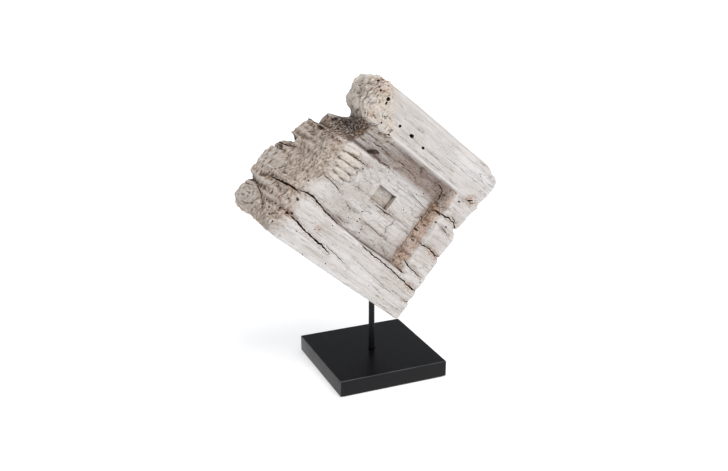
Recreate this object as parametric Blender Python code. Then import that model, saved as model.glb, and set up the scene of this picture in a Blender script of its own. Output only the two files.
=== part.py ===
"""Weathered driftwood block on a display stand, made of a black rod and a square black base.

World: metres, +Z up. The origin is the centre of the stand's underside, on the surface that
it stands on. X and Y run along the base's edges, and the carved side of the wood faces -Y.

The wood has a frame of its own, in millimetres from the block's centre: u runs along the
grain, down to the right, v across the grain, up to the right, and w towards the front.
"""
import math

import bmesh
import bpy
import numpy as np
from mathutils import Matrix, Vector, noise

MM = 0.001
FIT_GAP = 0.3 * MM                    # clearance between pieces that touch or fit

# Stand
BASE_SIDE = 150 * MM
BASE_TOP = 23 * MM
BASE_EDGE_EASE = 0.9 * MM
SOLE_THICKNESS = 1.2 * MM
SOLE_INSET = 2.5 * MM
ROD_DIAMETER = 8 * MM
ROD_SOCKET_DEPTH = 10 * MM            # how far the rod's foot sits in the base
ROD_IN_WOOD = 62 * MM                 # how far the rod runs up inside the wood
BORE_RUN_OUT = 20 * MM                # how far the bore's cutter reaches below the wood
RIM_DIAMETER = 12.5 * MM              # countersunk rim of the rod's hole in the base
RIM_DEPTH = 1.4 * MM
SCREW_DIAMETER = 5 * MM
SCREW_HEAD_DIAMETER = 9.5 * MM
SCREW_HEAD_HEIGHT = 4.5 * MM
SCREW_HEAD_RECESS = 6 * MM            # depth of the hole for the screw's head in the base
SCREW_IN_ROD = 14 * MM

# Wood block, in millimetres in its own frame
GRAIN_TILT = math.radians(40)         # the grain runs down to the right
WOOD_CENTRE_HEIGHT = 240
U_ENDS = (-110, 112)
V_SIDES = (-112, 120)
W_FACES = (-50, 50)
CELLS = (76, 77, 26)                  # divisions along u, v and w before thinning
KEPT_SHARE = 0.16                     # share of the triangles left by the thinning

# Edge radii, in millimetres: sign pair of the corner, radius
ROUND_V_W = (((1, 1), 22), ((1, -1), 16), ((-1, 1), 3), ((-1, -1), 9))
ROUND_U_W = (((-1, 1), 17), ((-1, -1), 8), ((1, 1), 4), ((1, -1), 7))
ROUND_U_V = (((1, 1), 19), ((-1, 1), 10), ((1, -1), 3), ((-1, -1), 5))

# Front relief, in millimetres
PANEL_DEPTH = 20
PANEL_FADE = (-98, 0)                 # u where the panel leaves the front and where it is full
WALL_FOOT = 66                        # u of the sunk panel's right wall, at its foot
WALL_TOP = 74
BEAM_EDGE = -57.3                     # v of the lower beam's inner edge, away from its left end
BEAM_EDGE_U = (-115, -98, -85, -56, -10, 80)
BEAM_EDGE_V = (-52, -46.5, -47, -53, -57.3, -57.3)
BEAM_WALL = 1.6                       # width of the steep wall above the lower beam
BEAM_BEND_REACH = 16                  # how far from that edge the grid bends to follow it
COVE_FOOT = 38
COVE_TOP = 66                         # v of the ridge's lower edge
CHANNEL_START = 30
CHANNEL_DEPTH = 19

# Ends: (v, u) down the back edge and the front edge of the rotted left end
LEFT_BACK = ((-117, -112), (-110, -128), (-101, -137), (-90, -137), (-79, -134), (-74, -124),
             (-69, -138), (-51, -139), (-35, -137), (-20, -134), (-9, -123), (-4, -115),
             (2, -126), (9, -120), (18, -116), (30, -113), (33, -100), (41, -100), (50, -97),
             (57, -78), (63, -68), (70, -70), (76, -80), (80, -87), (90, -88), (103, -92),
             (112, -88), (120, -80))
LEFT_FRONT = ((-117, -102), (-100, -105), (-85, -106), (-79, -98), (-70, -107), (-52, -113),
              (-45, -107), (-20, -105), (0, -107), (20, -109), (28, -103), (34, -95),
              (45, -90), (56, -92), (63, -96), (75, -100), (90, -98), (105, -97), (120, -94))
KNOB_BULGE = 9                        # how far the ridge's rotted end swells in mid thickness
LEFT_END_ZONE = -60                   # the left end's shape is spread from here outwards
RIGHT_END = ((-112, 113), (-88, 114), (-84, 111), (-70, 113), (-67, 111), (-50, 112.5),
             (-47, 110.5), (-20, 112), (-17, 109.5), (15, 110.5), (21, 107), (25, 101),
             (29, 106), (45, 108), (50, 107), (60, 110), (66, 112), (72, 109), (78, 111),
             (84, 112), (96, 114), (120, 113))
RIGHT_END_ZONE = 85
ROT_ZONE = (-112, -84)                # u where the end is fully rotted and where it is sound

# Cracks on the front: points (u, v), width and depth
FRONT_CRACKS = {
    "beam_split": (((-115, -52), (-104, -49), (-98, -46.8), (-86, -47.2), (-70, -50.5),
                    (-52, -53.8), (-30, -55.6)), 2.2, 12),
    "beam_long": (((3, -58.6), (12, -60.3), (60, -63.2), (85, -66), (97, -67.2), (116, -67.6)),
                  1.6, 13),
    "beam_low": (((-112, -79), (-97, -80), (-80, -83.5), (-60, -86.5), (-40, -88.5),
                  (-25, -91.8)), 2.0, 11),
    "beam_low_second": (((-38, -85.3), (-13, -88.6), (6, -91)), 1.1, 6),
    "beam_end_nick": (((99, -86.6), (105, -86), (117, -83)), 2.2, 8),
    "frame_middle": (((64, -17.5), (72, -15), (85, -13.6), (96, -15.4), (106, -16.6),
                      (117, -18)), 3.0, 15),
    "frame_upper": (((67, 30.5), (76, 32), (86, 33.4), (94, 32.6), (101, 27.5), (116, 23)),
                    2.8, 14),
    "frame_lower": (((71, -43.5), (76, -46), (86, -47.8), (102, -50.2)), 2.4, 10),
    "frame_knot": (((87, 65.5), (92, 68), (98, 71)), 4.2, 6),
    "panel_left": (((-103, -16.5), (-90, -18), (-72, -19.7), (-56, -23.5)), 1.6, 6),
    "flake": (((-80, 20), (-68, 20.8), (-54, 20.4)), 2.0, 6),
    "under_mortise": (((-14, -8.2), (8, -8.6), (16, -9.6), (28, -9)), 2.2, 7),
    "cove_left": (((-62, 50), (-42, 51.5), (-20, 49)), 1.8, 5),
    "cove_middle": (((-18, 50.4), (6, 53.5)), 1.8, 5),
    "cove_foot": (((-38, 37.8), (-16, 38.4)), 1.8, 5),
    "wall_foot": (((63.4, 44), (64, 20), (63.6, -14), (64, -50)), 3.0, 3),
    "wall_corner": (((53, 61.5), (60, 58.5), (64, 52), (65, 44)), 3.0, 5),
}

# Cracks in the rotted end: points (w, v), width and depth along the grain
END_CRACKS = {
    "deep_slit": (((-20, -6.5), (-36, -5), (-56, -3)), 6.0, 15),
    "lower_slit": (((-14, -11), (-30, -14), (-54, -20)), 3.2, 11),
    "third_slit": (((-18, -21.5), (-36, -23.5), (-54, -25.5)), 2.6, 9),
    "beam_seam": (((56, -51), (40, -51.5), (18, -54), (-8, -57.5), (-24, -60)), 3.4, 14),
    "beam_rift": (((56, -79.4), (36, -79), (12, -79.4), (-4, -79)), 3.0, 9),
    "lobe_seam": (((15, -96), (6, -89), (-7, -80), (-15, -77.5), (-28, -74), (-40, -71),
                   (-56, -70)), 3.2, 8),
    "plate_edge": (((-22, 29.5), (-36, 31), (-56, 33)), 3.0, 9),
    "plate_shadow": (((-6, 14), (-14, 20), (-22, 25)), 3.0, 6),
}

# Cracks on the back: points (u, v), width and depth
BACK_CRACKS = {
    "back_long": (((-112, 12), (-60, 8), (-10, 11), (40, 6), (84, 8)), 2.6, 14),
    "back_upper": (((118, 58), (70, 54), (20, 57), (-18, 55)), 2.4, 11),
    "back_lower": (((-130, -60), (-84, -64), (-40, -62), (-6, -66)), 2.4, 10),
    "back_right": (((117, -34), (84, -31), (52, -35)), 2.2, 9),
}

# Worm holes on the front: (u, v, width along u, width along v, depth)
WORM_HOLES = (
    (-85, 100, 5.0, 6.0, 6), (-84, 94.5, 3.0, 5.0, 5), (-30, 84, 6.0, 4.2, 7),
    (-7, 81.5, 5.0, 3.2, 6), (-51, 84, 3.0, 3.0, 5), (-75, 81, 2.6, 2.6, 5),
    (-74, 73, 3.4, 3.0, 5), (-56, 67.5, 5.0, 2.4, 5), (-109, 68, 4.0, 3.0, 6),
    (81.5, 58, 5.0, 2.6, 6), (88, 22.3, 4.0, 2.6, 5), (108, 50.5, 3.0, 3.0, 5),
    (65, -3, 6.0, 4.0, 5), (-53, 17, 4.0, 3.4, 4), (-103, -59, 3.6, 3.0, 5),
)
MORTISE = ((-15, 15), (-7, 15), 7)    # u range, v range and depth below the panel
MORTISE_TAPER = 0.8
HOLLOW_CENTRE = (-107, 41, 30)        # rotted hollow under the ridge's end
HOLLOW_RADII = (33, 14, 60)
HOLLOW_TURN = math.radians(28)        # its long way runs down to the left across the front
POCKET_CENTRE = (-52, 40.5, 31)       # small dark pocket at the cove's foot
POCKET_RADII = (10, 4.6, 10)

COLOURS = {
    "driftwood": ((0.68, 0.64, 0.59), 0.85, 0.0),
    "stand_rod": ((0.010, 0.010, 0.011), 0.38, 0.0),
    "stand_base": ((0.016, 0.016, 0.017), 0.42, 0.0),
    "base_screw": ((0.45, 0.45, 0.46), 0.35, 1.0),
    "felt_sole": ((0.012, 0.012, 0.012), 0.95, 0.0),
}


def clear_scene():
    for thing in list(bpy.data.objects):
        bpy.data.objects.remove(thing, do_unlink=True)


def material(name):
    """A Principled material in the piece's own colour."""
    colour, roughness, metallic = COLOURS[name]
    finish = bpy.data.materials.new(name)
    finish.use_nodes = True
    shader = finish.node_tree.nodes["Principled BSDF"]
    shader.inputs["Base Color"].default_value = (*colour, 1.0)
    shader.inputs["Roughness"].default_value = roughness
    shader.inputs["Metallic"].default_value = metallic
    return finish


def object_from(shape, name, smooth_angle=None):
    """An object made of a bmesh, which is freed, in the scene's collection."""
    bmesh.ops.recalc_face_normals(shape, faces=shape.faces)
    if shape.calc_volume(signed=True) < 0:
        bmesh.ops.reverse_faces(shape, faces=shape.faces)
    mesh = bpy.data.meshes.new(name)
    shape.to_mesh(mesh)
    shape.free()
    if smooth_angle is not None:
        mesh.shade_smooth()
        mesh.set_sharp_from_angle(angle=math.radians(smooth_angle))
    thing = bpy.data.objects.new(name, mesh)
    bpy.context.scene.collection.objects.link(thing)
    return thing


def hide_cutter(cutter):
    cutter.hide_render = True
    cutter.display_type = "WIRE"


def wood_matrix():
    """Places the wood's own frame, in millimetres, in the world, in metres."""
    c = math.cos(GRAIN_TILT)
    s = math.sin(GRAIN_TILT)
    turn = Matrix(((c, s, 0), (0, 0, -1), (-s, c, 0))).to_4x4()
    lift = Matrix.Translation((0, 0, WOOD_CENTRE_HEIGHT * MM))
    return lift @ turn @ Matrix.Scale(MM, 4)


def ease(start, end, value):
    """A smooth step from 0 at start to 1 at end."""
    t = np.clip((value - start) / (end - start), 0, 1)
    return t * t * (3 - 2 * t)


def ramp(start, end, value):
    return np.clip((value - start) / (end - start), 0, 1)


def profile(points, value):
    """The second number of each point, read between the points at value."""
    table = np.array(points, dtype=float)
    return np.interp(value, table[:, 0], table[:, 1])


def wander(points, scale, seed):
    """Smooth noise of about -1 to 1 at each point, drawn out by scale along u, v and w."""
    scaled = points / np.array(scale, dtype=float) + seed * 17.3
    return np.array([noise.noise(Vector(place)) for place in scaled])


def block_grid():
    """A unit cube cut into cells, then spread over the block's outer size."""
    shape = bmesh.new()
    bmesh.ops.create_cube(shape, size=1.0)
    for axis, count in enumerate(CELLS):
        along = [e for e in shape.edges if abs(e.verts[0].co[axis] - e.verts[1].co[axis]) > 1e-6]
        bmesh.ops.subdivide_edges(shape, edges=along, cuts=count - 1, use_grid_fill=True)
    return shape


def spread(share, ends, count, lines=()):
    """Grid places from -0.5..0.5 to the block's size, with the nearest places on the lines."""
    even = np.linspace(ends[0], ends[1], count + 1)
    placed = even.copy()
    for line in lines:
        placed[np.argmin(abs(even - line))] = line
    return np.interp((share + 0.5) * (ends[1] - ends[0]) + ends[0], even, placed)


def round_edge(first, second, limits, signs, radius):
    """Presses the square corner of two coordinates into a round one of that radius."""
    corner_1 = max(limits[0], key=lambda end: end * signs[0]) - signs[0] * radius
    corner_2 = max(limits[1], key=lambda end: end * signs[1]) - signs[1] * radius
    a = np.maximum((first - corner_1) * signs[0], 0)
    b = np.maximum((second - corner_2) * signs[1], 0)
    inside = (a > 0) & (b > 0)
    share = np.where(inside, np.maximum(a, b) / np.maximum(np.hypot(a, b), 1e-9), 1.0)
    new_first = np.where(inside, corner_1 + signs[0] * a * share, first)
    new_second = np.where(inside, corner_2 + signs[1] * b * share, second)
    return new_first, new_second


def left_end(v, w):
    """u of the rotted left end: its front and back outlines, swollen at the ridge."""
    back = ramp(W_FACES[1], W_FACES[0], w)
    swell = KNOB_BULGE * 4 * back * (1 - back) * ease(COVE_TOP - 4, COVE_TOP + 10, v)
    return profile(LEFT_FRONT, v) * (1 - back) + profile(LEFT_BACK, v) * back - swell


def beam_edge(u):
    return np.interp(u, BEAM_EDGE_U, BEAM_EDGE_V)


def front_depth(u, v):
    """How far the carved front lies behind the block's front face."""
    inner = 1 - ramp(WALL_FOOT, WALL_TOP, u)
    above_beam = ramp(beam_edge(u) - BEAM_WALL, beam_edge(u), v)
    cove = np.sqrt(1 - ramp(COVE_FOOT, COVE_TOP, v) ** 2)
    panel = PANEL_DEPTH * ease(*PANEL_FADE, u)
    channel = CHANNEL_DEPTH * ease(CHANNEL_START, COVE_FOOT, v)
    return np.maximum(panel, channel) * inner * above_beam * cove


def front_surface(u, v):
    return W_FACES[1] - float(front_depth(np.array(u), np.array(v)))


def shape_block(points):
    """Moves the grid's points from the plain box to the weathered block."""
    u = spread(points[:, 0], U_ENDS, CELLS[0], (WALL_FOOT, WALL_TOP))
    v = spread(points[:, 1], V_SIDES, CELLS[1], (BEAM_EDGE - BEAM_WALL, BEAM_EDGE))
    w = spread(points[:, 2], W_FACES, CELLS[2])
    for signs, radius in ROUND_V_W:
        v, w = round_edge(v, w, (V_SIDES, W_FACES), signs, radius)
    for signs, radius in ROUND_U_V:
        u, v = round_edge(u, v, (U_ENDS, V_SIDES), signs, radius)
    for signs, radius in ROUND_U_W:
        u, w = round_edge(u, w, (U_ENDS, W_FACES), signs, radius)
    left_share = ramp(LEFT_END_ZONE, U_ENDS[0], u)
    u = u + (left_end(v, w) - U_ENDS[0]) * left_share
    right_share = ramp(RIGHT_END_ZONE, U_ENDS[1], u)
    u = u + (profile(RIGHT_END, v) - U_ENDS[1]) * right_share
    v = v + (beam_edge(u) - BEAM_EDGE) * (1 - ramp(0, BEAM_BEND_REACH, abs(v - BEAM_EDGE)))
    w = w - front_depth(u, v) * ramp(0, W_FACES[1], w)
    return np.stack((u, v, w), axis=1)


def weather(shape):
    """Swells and frets the surface along its own normals, most at the rotted end."""
    shape.normal_update()
    points = np.array([vert.co for vert in shape.verts])
    normals = np.array([vert.normal for vert in shape.verts])
    rot = 1 - ease(*ROT_ZONE, points[:, 0])
    swell = 0.9 * wander(points, (70, 26, 30), 1) + 0.5 * wander(points, (34, 8, 11), 2)
    fret = 3.2 * wander(points, (13, 6, 11), 3) + 1.4 * wander(points, (7, 4, 6), 4)
    moved = points + normals * (swell + fret * rot)[:, None]
    for vert, place in zip(shape.verts, moved):
        vert.co = place


def wedge(name, path, out, width, depth, lift=6):
    """A crack's cutter: a thin three-sided blade along the path, deepest in its middle."""
    shape = bmesh.new()
    count = len(path)
    bmesh.ops.create_cone(shape, cap_ends=True, segments=3, radius1=1, radius2=1,
                          depth=count - 1)
    long_edges = [e for e in shape.edges if abs(e.verts[0].co.z - e.verts[1].co.z) > 0.5]
    if count > 2:
        bmesh.ops.subdivide_edges(shape, edges=long_edges, cuts=count - 2)
    places = [Vector(place) for place in path]
    outward = Vector(out)
    ring_order = sorted({round(math.atan2(v.co.x, v.co.y), 3) for v in shape.verts})
    for vert in shape.verts:
        station = round(vert.co.z + (count - 1) / 2)
        corner = ring_order.index(round(math.atan2(vert.co.x, vert.co.y), 3))
        here = places[station]
        ahead = places[min(station + 1, count - 1)] - places[max(station - 1, 0)]
        side = ahead.cross(outward).normalized()
        end = station in (0, count - 1)
        half = width * (0.12 if end else 0.5)
        sink = depth * (0.25 if end else 1.0)
        flare = half * (1 + lift / sink) if not end else half
        if corner == 0:
            vert.co = here - outward * sink
        else:
            vert.co = here + outward * lift + side * (flare if corner == 1 else -flare)
    return object_from(shape, name)


def front_cutter(name, points, width, depth):
    path = [(u, v, front_surface(u, v)) for u, v in points]
    return wedge(name, path, (0, 0, 1), width, depth)


def end_cutter(name, points, width, depth):
    path = [(float(left_end(np.array(v), np.array(w))), v, w) for w, v in points]
    return wedge(name, path, (-1, 0, 0), width, depth, 10)


def back_cutter(name, points, width, depth):
    path = [(u, v, W_FACES[0]) for u, v in points]
    return wedge(name, path, (0, 0, -1), width, depth)


def lump(name, centre, radii, turn, seed, subdivisions=2):
    """A lumpy ball, turned across the front, that cuts a rotted hollow."""
    shape = bmesh.new()
    bmesh.ops.create_icosphere(shape, subdivisions=subdivisions, radius=1)
    for vert in shape.verts:
        grow = 1 + 0.16 * noise.noise(vert.co * 1.6 + Vector((seed, 0, 0)))
        vert.co = Vector([r * c * grow for r, c in zip(radii, vert.co)])
    place = Matrix.Translation(centre) @ Matrix.Rotation(turn, 4, "Z")
    bmesh.ops.transform(shape, matrix=place, verts=shape.verts)
    return object_from(shape, name)


def worm_hole(name, u, v, wide, high, depth):
    """A short tapered pit, six-sided."""
    shape = bmesh.new()
    bmesh.ops.create_cone(shape, cap_ends=True, segments=6, radius1=0.3, radius2=0.5, depth=1)
    reach = depth + 4
    middle = front_surface(u, v) + 4 - reach / 2
    for vert in shape.verts:
        vert.co = Vector((u + vert.co.x * wide, v + vert.co.y * high, middle + vert.co.z * reach))
    return object_from(shape, name)


def mortise():
    """The square mortise in the sunk panel, a little narrower at its bottom."""
    (u_low, u_high), (v_low, v_high), depth = MORTISE
    floor = W_FACES[1] - PANEL_DEPTH - depth
    shape = bmesh.new()
    bmesh.ops.create_cube(shape, size=1.0)
    for vert in shape.verts:
        taper = MORTISE_TAPER if vert.co.z < 0 else -MORTISE_TAPER
        u = (u_low + taper) if vert.co.x < 0 else (u_high - taper)
        v = (v_low + taper) if vert.co.y < 0 else (v_high - taper)
        vert.co = Vector((u, v, floor if vert.co.z < 0 else floor + 2 * depth))
    return object_from(shape, "mortise_cut")


def rod_levels():
    """Heights of the rod's foot, of where it enters the wood, and of its top."""
    foot = BASE_TOP - ROD_SOCKET_DEPTH + FIT_GAP
    entry = (WOOD_CENTRE_HEIGHT + V_SIDES[0] / math.cos(GRAIN_TILT)) * MM
    return foot, entry, entry + ROD_IN_WOOD


def rod_bore():
    """The plain blind hole that the rod stands in, upright in the world."""
    _, entry, rod_top = rod_levels()
    top = rod_top + FIT_GAP
    bottom = entry - BORE_RUN_OUT
    shape = bmesh.new()
    bmesh.ops.create_cone(shape, cap_ends=True, segments=24, depth=top - bottom,
                          radius1=ROD_DIAMETER / 2 + FIT_GAP, radius2=ROD_DIAMETER / 2 + FIT_GAP,
                          matrix=Matrix.Translation((0, 0, (top + bottom) / 2)))
    return object_from(shape, "rod_bore_cut")


def driftwood():
    shape = block_grid()
    points = shape_block(np.array([vert.co for vert in shape.verts]))
    for vert, place in zip(shape.verts, points):
        vert.co = place
    weather(shape)
    wood = object_from(shape, "driftwood", 40)
    wood.matrix_world = wood_matrix()
    wood.data.materials.append(material("driftwood"))
    thin = wood.modifiers.new("thin", "DECIMATE")
    thin.ratio = KEPT_SHARE
    cuts = bpy.data.collections.new("wood_cuts")
    bpy.context.scene.collection.children.link(cuts)
    cutters = [front_cutter(f"crack_{name}", *spec) for name, spec in FRONT_CRACKS.items()]
    cutters += [end_cutter(f"rift_{name}", *spec) for name, spec in END_CRACKS.items()]
    cutters += [back_cutter(f"split_{name}", *spec) for name, spec in BACK_CRACKS.items()]
    cutters += [worm_hole(f"worm_{i}", *spec) for i, spec in enumerate(WORM_HOLES)]
    cutters.append(lump("hollow_cut", HOLLOW_CENTRE, HOLLOW_RADII, HOLLOW_TURN, 3.1))
    cutters.append(lump("pocket_cut", POCKET_CENTRE, POCKET_RADII, 0, 7.7, 1))
    cutters.append(mortise())
    for cutter in cutters:
        cutter.matrix_world = wood_matrix()
    cutters.append(rod_bore())
    for cutter in cutters:
        bpy.context.scene.collection.objects.unlink(cutter)
        cuts.objects.link(cutter)
        hide_cutter(cutter)
    cut = wood.modifiers.new("cracks_and_holes", "BOOLEAN")
    cut.operation = "DIFFERENCE"
    cut.operand_type = "COLLECTION"
    cut.collection = cuts
    cut.solver = "EXACT"
    return wood


def turned(name, outline, segments=32):
    """A solid turned round the Z axis from (radius, height) points, from axis to axis."""
    shape = bmesh.new()
    verts = [shape.verts.new((radius, 0, height)) for radius, height in outline]
    edges = [shape.edges.new(pair) for pair in zip(verts, verts[1:])]
    bmesh.ops.spin(shape, geom=verts + edges, cent=(0, 0, 0), axis=(0, 0, 1),
                   angle=math.tau, steps=segments, use_merge=True)
    bmesh.ops.remove_doubles(shape, verts=shape.verts, dist=0.00001)
    return object_from(shape, name, 30)


def screw_levels():
    """Heights of the screw's head underside and top, and of its tip."""
    head_high = SOLE_THICKNESS + SCREW_HEAD_RECESS
    tip = BASE_TOP - ROD_SOCKET_DEPTH + SCREW_IN_ROD
    return head_high - SCREW_HEAD_HEIGHT, head_high, tip


def stand_rod():
    """The upright rod, with a blind hole for the screw in its foot."""
    foot, _, top = rod_levels()
    radius = ROD_DIAMETER / 2
    chamfer = 0.6 * MM
    hole = SCREW_DIAMETER / 2 + FIT_GAP
    hole_top = foot + SCREW_IN_ROD
    rod = turned("stand_rod", ((0, hole_top), (hole, hole_top), (hole, foot), (radius, foot),
                               (radius, top - chamfer), (radius - chamfer, top), (0, top)))
    rod.data.materials.append(material("stand_rod"))
    return rod


def stand_base():
    """The square block, with the rod's socket above and the screw's hole below."""
    bottom = SOLE_THICKNESS + FIT_GAP
    socket_floor = BASE_TOP - ROD_SOCKET_DEPTH
    socket = ROD_DIAMETER / 2 + FIT_GAP
    shank = SCREW_DIAMETER / 2 + FIT_GAP
    head = SCREW_HEAD_DIAMETER / 2 + FIT_GAP
    rim = RIM_DIAMETER / 2
    past = 2 * MM
    bore = turned("base_bore_cut", (
        (0, bottom - past), (head, bottom - past), (head, bottom + SCREW_HEAD_RECESS),
        (shank, bottom + SCREW_HEAD_RECESS), (shank, socket_floor), (socket, socket_floor),
        (socket, BASE_TOP - RIM_DEPTH), (rim, BASE_TOP), (rim, BASE_TOP + past),
        (0, BASE_TOP + past)))
    hide_cutter(bore)
    shape = bmesh.new()
    bmesh.ops.create_cube(shape, size=1.0)
    for vert in shape.verts:
        height = BASE_TOP if vert.co.z > 0 else bottom
        vert.co = Vector((vert.co.x * BASE_SIDE, vert.co.y * BASE_SIDE, height))
    bmesh.ops.bevel(shape, geom=shape.edges[:], offset=BASE_EDGE_EASE, segments=3,
                    profile=0.5, affect="EDGES")
    base = object_from(shape, "stand_base", 30)
    base.data.materials.append(material("stand_base"))
    cut = base.modifiers.new("rod_and_screw_hole", "BOOLEAN")
    cut.operation = "DIFFERENCE"
    cut.object = bore
    cut.solver = "EXACT"
    return base


def base_screw():
    """The machine screw that holds the rod down on the base."""
    head_low, head_high, tip = screw_levels()
    shank = SCREW_DIAMETER / 2
    head = SCREW_HEAD_DIAMETER / 2
    chamfer = 0.5 * MM
    screw = turned("base_screw", (
        (0, head_low), (head - chamfer, head_low), (head, head_low + chamfer),
        (head, head_high), (shank, head_high), (shank, tip - chamfer),
        (shank - chamfer, tip), (0, tip)), 24)
    screw.data.materials.append(material("base_screw"))
    return screw


def felt_sole():
    """The thin felt sheet that covers the underside of the base."""
    side = BASE_SIDE - 2 * SOLE_INSET
    shape = bmesh.new()
    bmesh.ops.create_cube(shape, size=1.0)
    for vert in shape.verts:
        height = SOLE_THICKNESS if vert.co.z > 0 else 0
        vert.co = Vector((vert.co.x * side, vert.co.y * side, height))
    corners = [e for e in shape.edges if abs(e.verts[0].co.z - e.verts[1].co.z) > 0.5 * MM]
    bmesh.ops.bevel(shape, geom=corners, offset=3 * MM, segments=4, profile=0.5,
                    affect="EDGES")
    sole = object_from(shape, "felt_sole")
    sole.data.materials.append(material("felt_sole"))
    return sole


def main():
    clear_scene()
    driftwood()
    stand_rod()
    stand_base()
    base_screw()
    felt_sole()


main()
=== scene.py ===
import math

import bmesh
import bpy
import numpy as np
from mathutils import Matrix, Vector, noise


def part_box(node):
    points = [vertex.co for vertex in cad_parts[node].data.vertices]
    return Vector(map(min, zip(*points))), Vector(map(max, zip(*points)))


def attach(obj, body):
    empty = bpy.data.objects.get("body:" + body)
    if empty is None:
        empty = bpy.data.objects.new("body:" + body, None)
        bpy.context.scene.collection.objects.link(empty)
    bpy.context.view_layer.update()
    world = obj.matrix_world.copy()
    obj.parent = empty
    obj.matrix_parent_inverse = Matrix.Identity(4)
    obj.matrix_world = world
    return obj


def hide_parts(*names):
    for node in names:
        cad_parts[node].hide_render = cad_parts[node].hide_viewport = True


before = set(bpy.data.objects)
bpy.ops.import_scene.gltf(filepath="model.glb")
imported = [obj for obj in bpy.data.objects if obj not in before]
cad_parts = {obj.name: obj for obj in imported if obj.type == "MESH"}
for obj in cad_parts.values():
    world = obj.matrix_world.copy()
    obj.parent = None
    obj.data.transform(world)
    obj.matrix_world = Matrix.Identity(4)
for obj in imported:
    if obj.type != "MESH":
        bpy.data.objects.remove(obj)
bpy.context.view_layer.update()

MM = 0.001

# Photograph's view: its width and focal length in pixels, direction in degrees, place in metres
PHOTO_WIDTH = 728
FOCAL_PIXELS = 930
SENSOR_WIDTH = 36
VIEW_AZIMUTH = -23.07
VIEW_ELEVATION = 18.83
VIEW_PLACE = (-0.458, -1.0495, 0.5745)

# Studio: the floor in metres, and the directions that the sky and the key light come from
FLOOR_SIZE = 30
FLOOR_GLOW = 0.5
SKY_FROM = (-0.1, -0.72, 0.69)
KEY_FROM = (0.35, -0.8, 1.3)
KEY_STRENGTH = 2.0
KEY_WIDTH = math.radians(40)

# Stand, in metres
FIT_GAP = 0.3 * MM
BASE_LOW, BASE_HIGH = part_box("stand_base")
ROD_LOW, ROD_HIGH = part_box("stand_rod")
SCREW_LOW, SCREW_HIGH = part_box("base_screw")
BASE_EDGE_EASE = 0.9 * MM
# Sets the width of the painted highlight along the base's eased edges
EDGE_HIGHLIGHT_INSET = 0.29 * BASE_EDGE_EASE    # how deep the middle of an eased edge lies in the corner
ROD_SOCKET_DEPTH = BASE_HIGH.z - ROD_LOW.z + FIT_GAP
RIM_RADIUS = 6.25 * MM
RIM_DEPTH = 1.4 * MM
SCREW_SHANK_RADIUS = 2.5 * MM
SCREW_HEAD_HEIGHT = 4.5 * MM
HEX_SOCKET_RADIUS = 2.9 * MM
HEX_SOCKET_DEPTH = 2.6 * MM
CUTTER_PAST_BASE = 2 * MM
TURNED_SHARP_FROM = 30                # degrees, on the rod, the base and the screw

# Wood block in its own frame, in millimetres from its centre: u along the grain, down to the
# right, v across the grain, up to the right, and w towards the front
GRAIN_TILT = math.radians(40)
WOOD_CENTRE_HEIGHT = 240              # above the surface that the stand is on
U_ENDS = (-110, 112)
V_SIDES = (-112, 120)
W_FACES = (-50, 50)
CELLS = (156, 158, 52)                # along u, v and w: about 164,000 triangles before the cuts
# Where the grid's lines lie, (share of them, place): closer at the rotted end and the front
U_LINES = ((0, U_ENDS[0]), (0.36, -60), (1, U_ENDS[1]))
V_LINES = ((0, V_SIDES[0]), (1, V_SIDES[1]))
W_LINES = ((0, W_FACES[0]), (0.36, 0), (1, W_FACES[1]))
WOOD_SHARP_FROM = 50                  # degrees

# Rounded long edges: the two sides that meet there, as signs, and the radius
ROUND_V_W = (((1, 1), 22), ((1, -1), 16), ((-1, 1), 3), ((-1, -1), 9))
ROUND_U_W = (((-1, 1), 17), ((-1, -1), 8), ((1, 1), 4), ((1, -1), 7))
ROUND_U_V = (((1, 1), 19), ((-1, 1), 10), ((1, -1), 3), ((-1, -1), 5))

# Front relief
PANEL_DEPTH = 20
PANEL_FADE = (-98, 0)                 # u where the panel leaves the front and where it is full
WALL_FOOT = 66                        # u of the panel's right wall, at its foot and at its top
WALL_TOP = 74
WALL_STRAY = 1.8
BEAM_EDGE = -57.3                     # v of the beam's inner edge, away from its left end
BEAM_EDGE_U = (-115, -98, -85, -56, -10, 80)
BEAM_EDGE_V = (-52, -46.5, -47, -53, -57.3, -57.3)
BEAM_WALL = 1.6                       # width of the steep wall above the beam
BEAM_BEND_REACH = 16                  # how far from its edge the grid bends to follow it
COVE_FOOT = 38                        # v of the cove's foot, and of the ridge's lower edge
COVE_TOP = 66
CHANNEL_START = 30                    # v where the cove's deeper channel starts
CHANNEL_DEPTH = 19

# Ends: (v, u) down the back edge and the front edge of the rotted left end
LEFT_BACK = ((-117, -112), (-110, -128), (-101, -137), (-90, -137), (-79, -134), (-74, -128),
             (-69, -137), (-51, -139), (-35, -137), (-20, -134), (-9, -123), (-4, -115),
             (2, -126), (9, -120), (18, -116), (30, -113), (33, -100), (41, -100), (50, -97),
             (57, -78), (63, -68), (70, -70), (76, -80), (80, -87), (90, -88), (103, -92),
             (112, -88), (120, -80))
LEFT_FRONT = ((-117, -102), (-100, -105), (-85, -106), (-79, -98), (-70, -107), (-52, -113),
              (-45, -107), (-20, -105), (0, -107), (20, -109), (28, -103), (34, -95),
              (45, -90), (56, -92), (63, -96), (75, -100), (90, -98), (105, -97), (120, -94))
KNOB_BULGE = 9                        # how far the ridge's end swells in mid depth
SLIT_V = -4                           # the back outline's deep notch, which ends at mid depth
SLIT_SPREAD = 6
SLIT_FILL = 13
SLIT_FILL_W = (-36, -14)
NOTCH_V = -75                         # the notch beside the lobe, nearly filled at mid depth
NOTCH_SPREAD = 5.5
NOTCH_FILL = 8
LEFT_END_ZONE = -60                   # each end's shape is spread from here outwards
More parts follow.
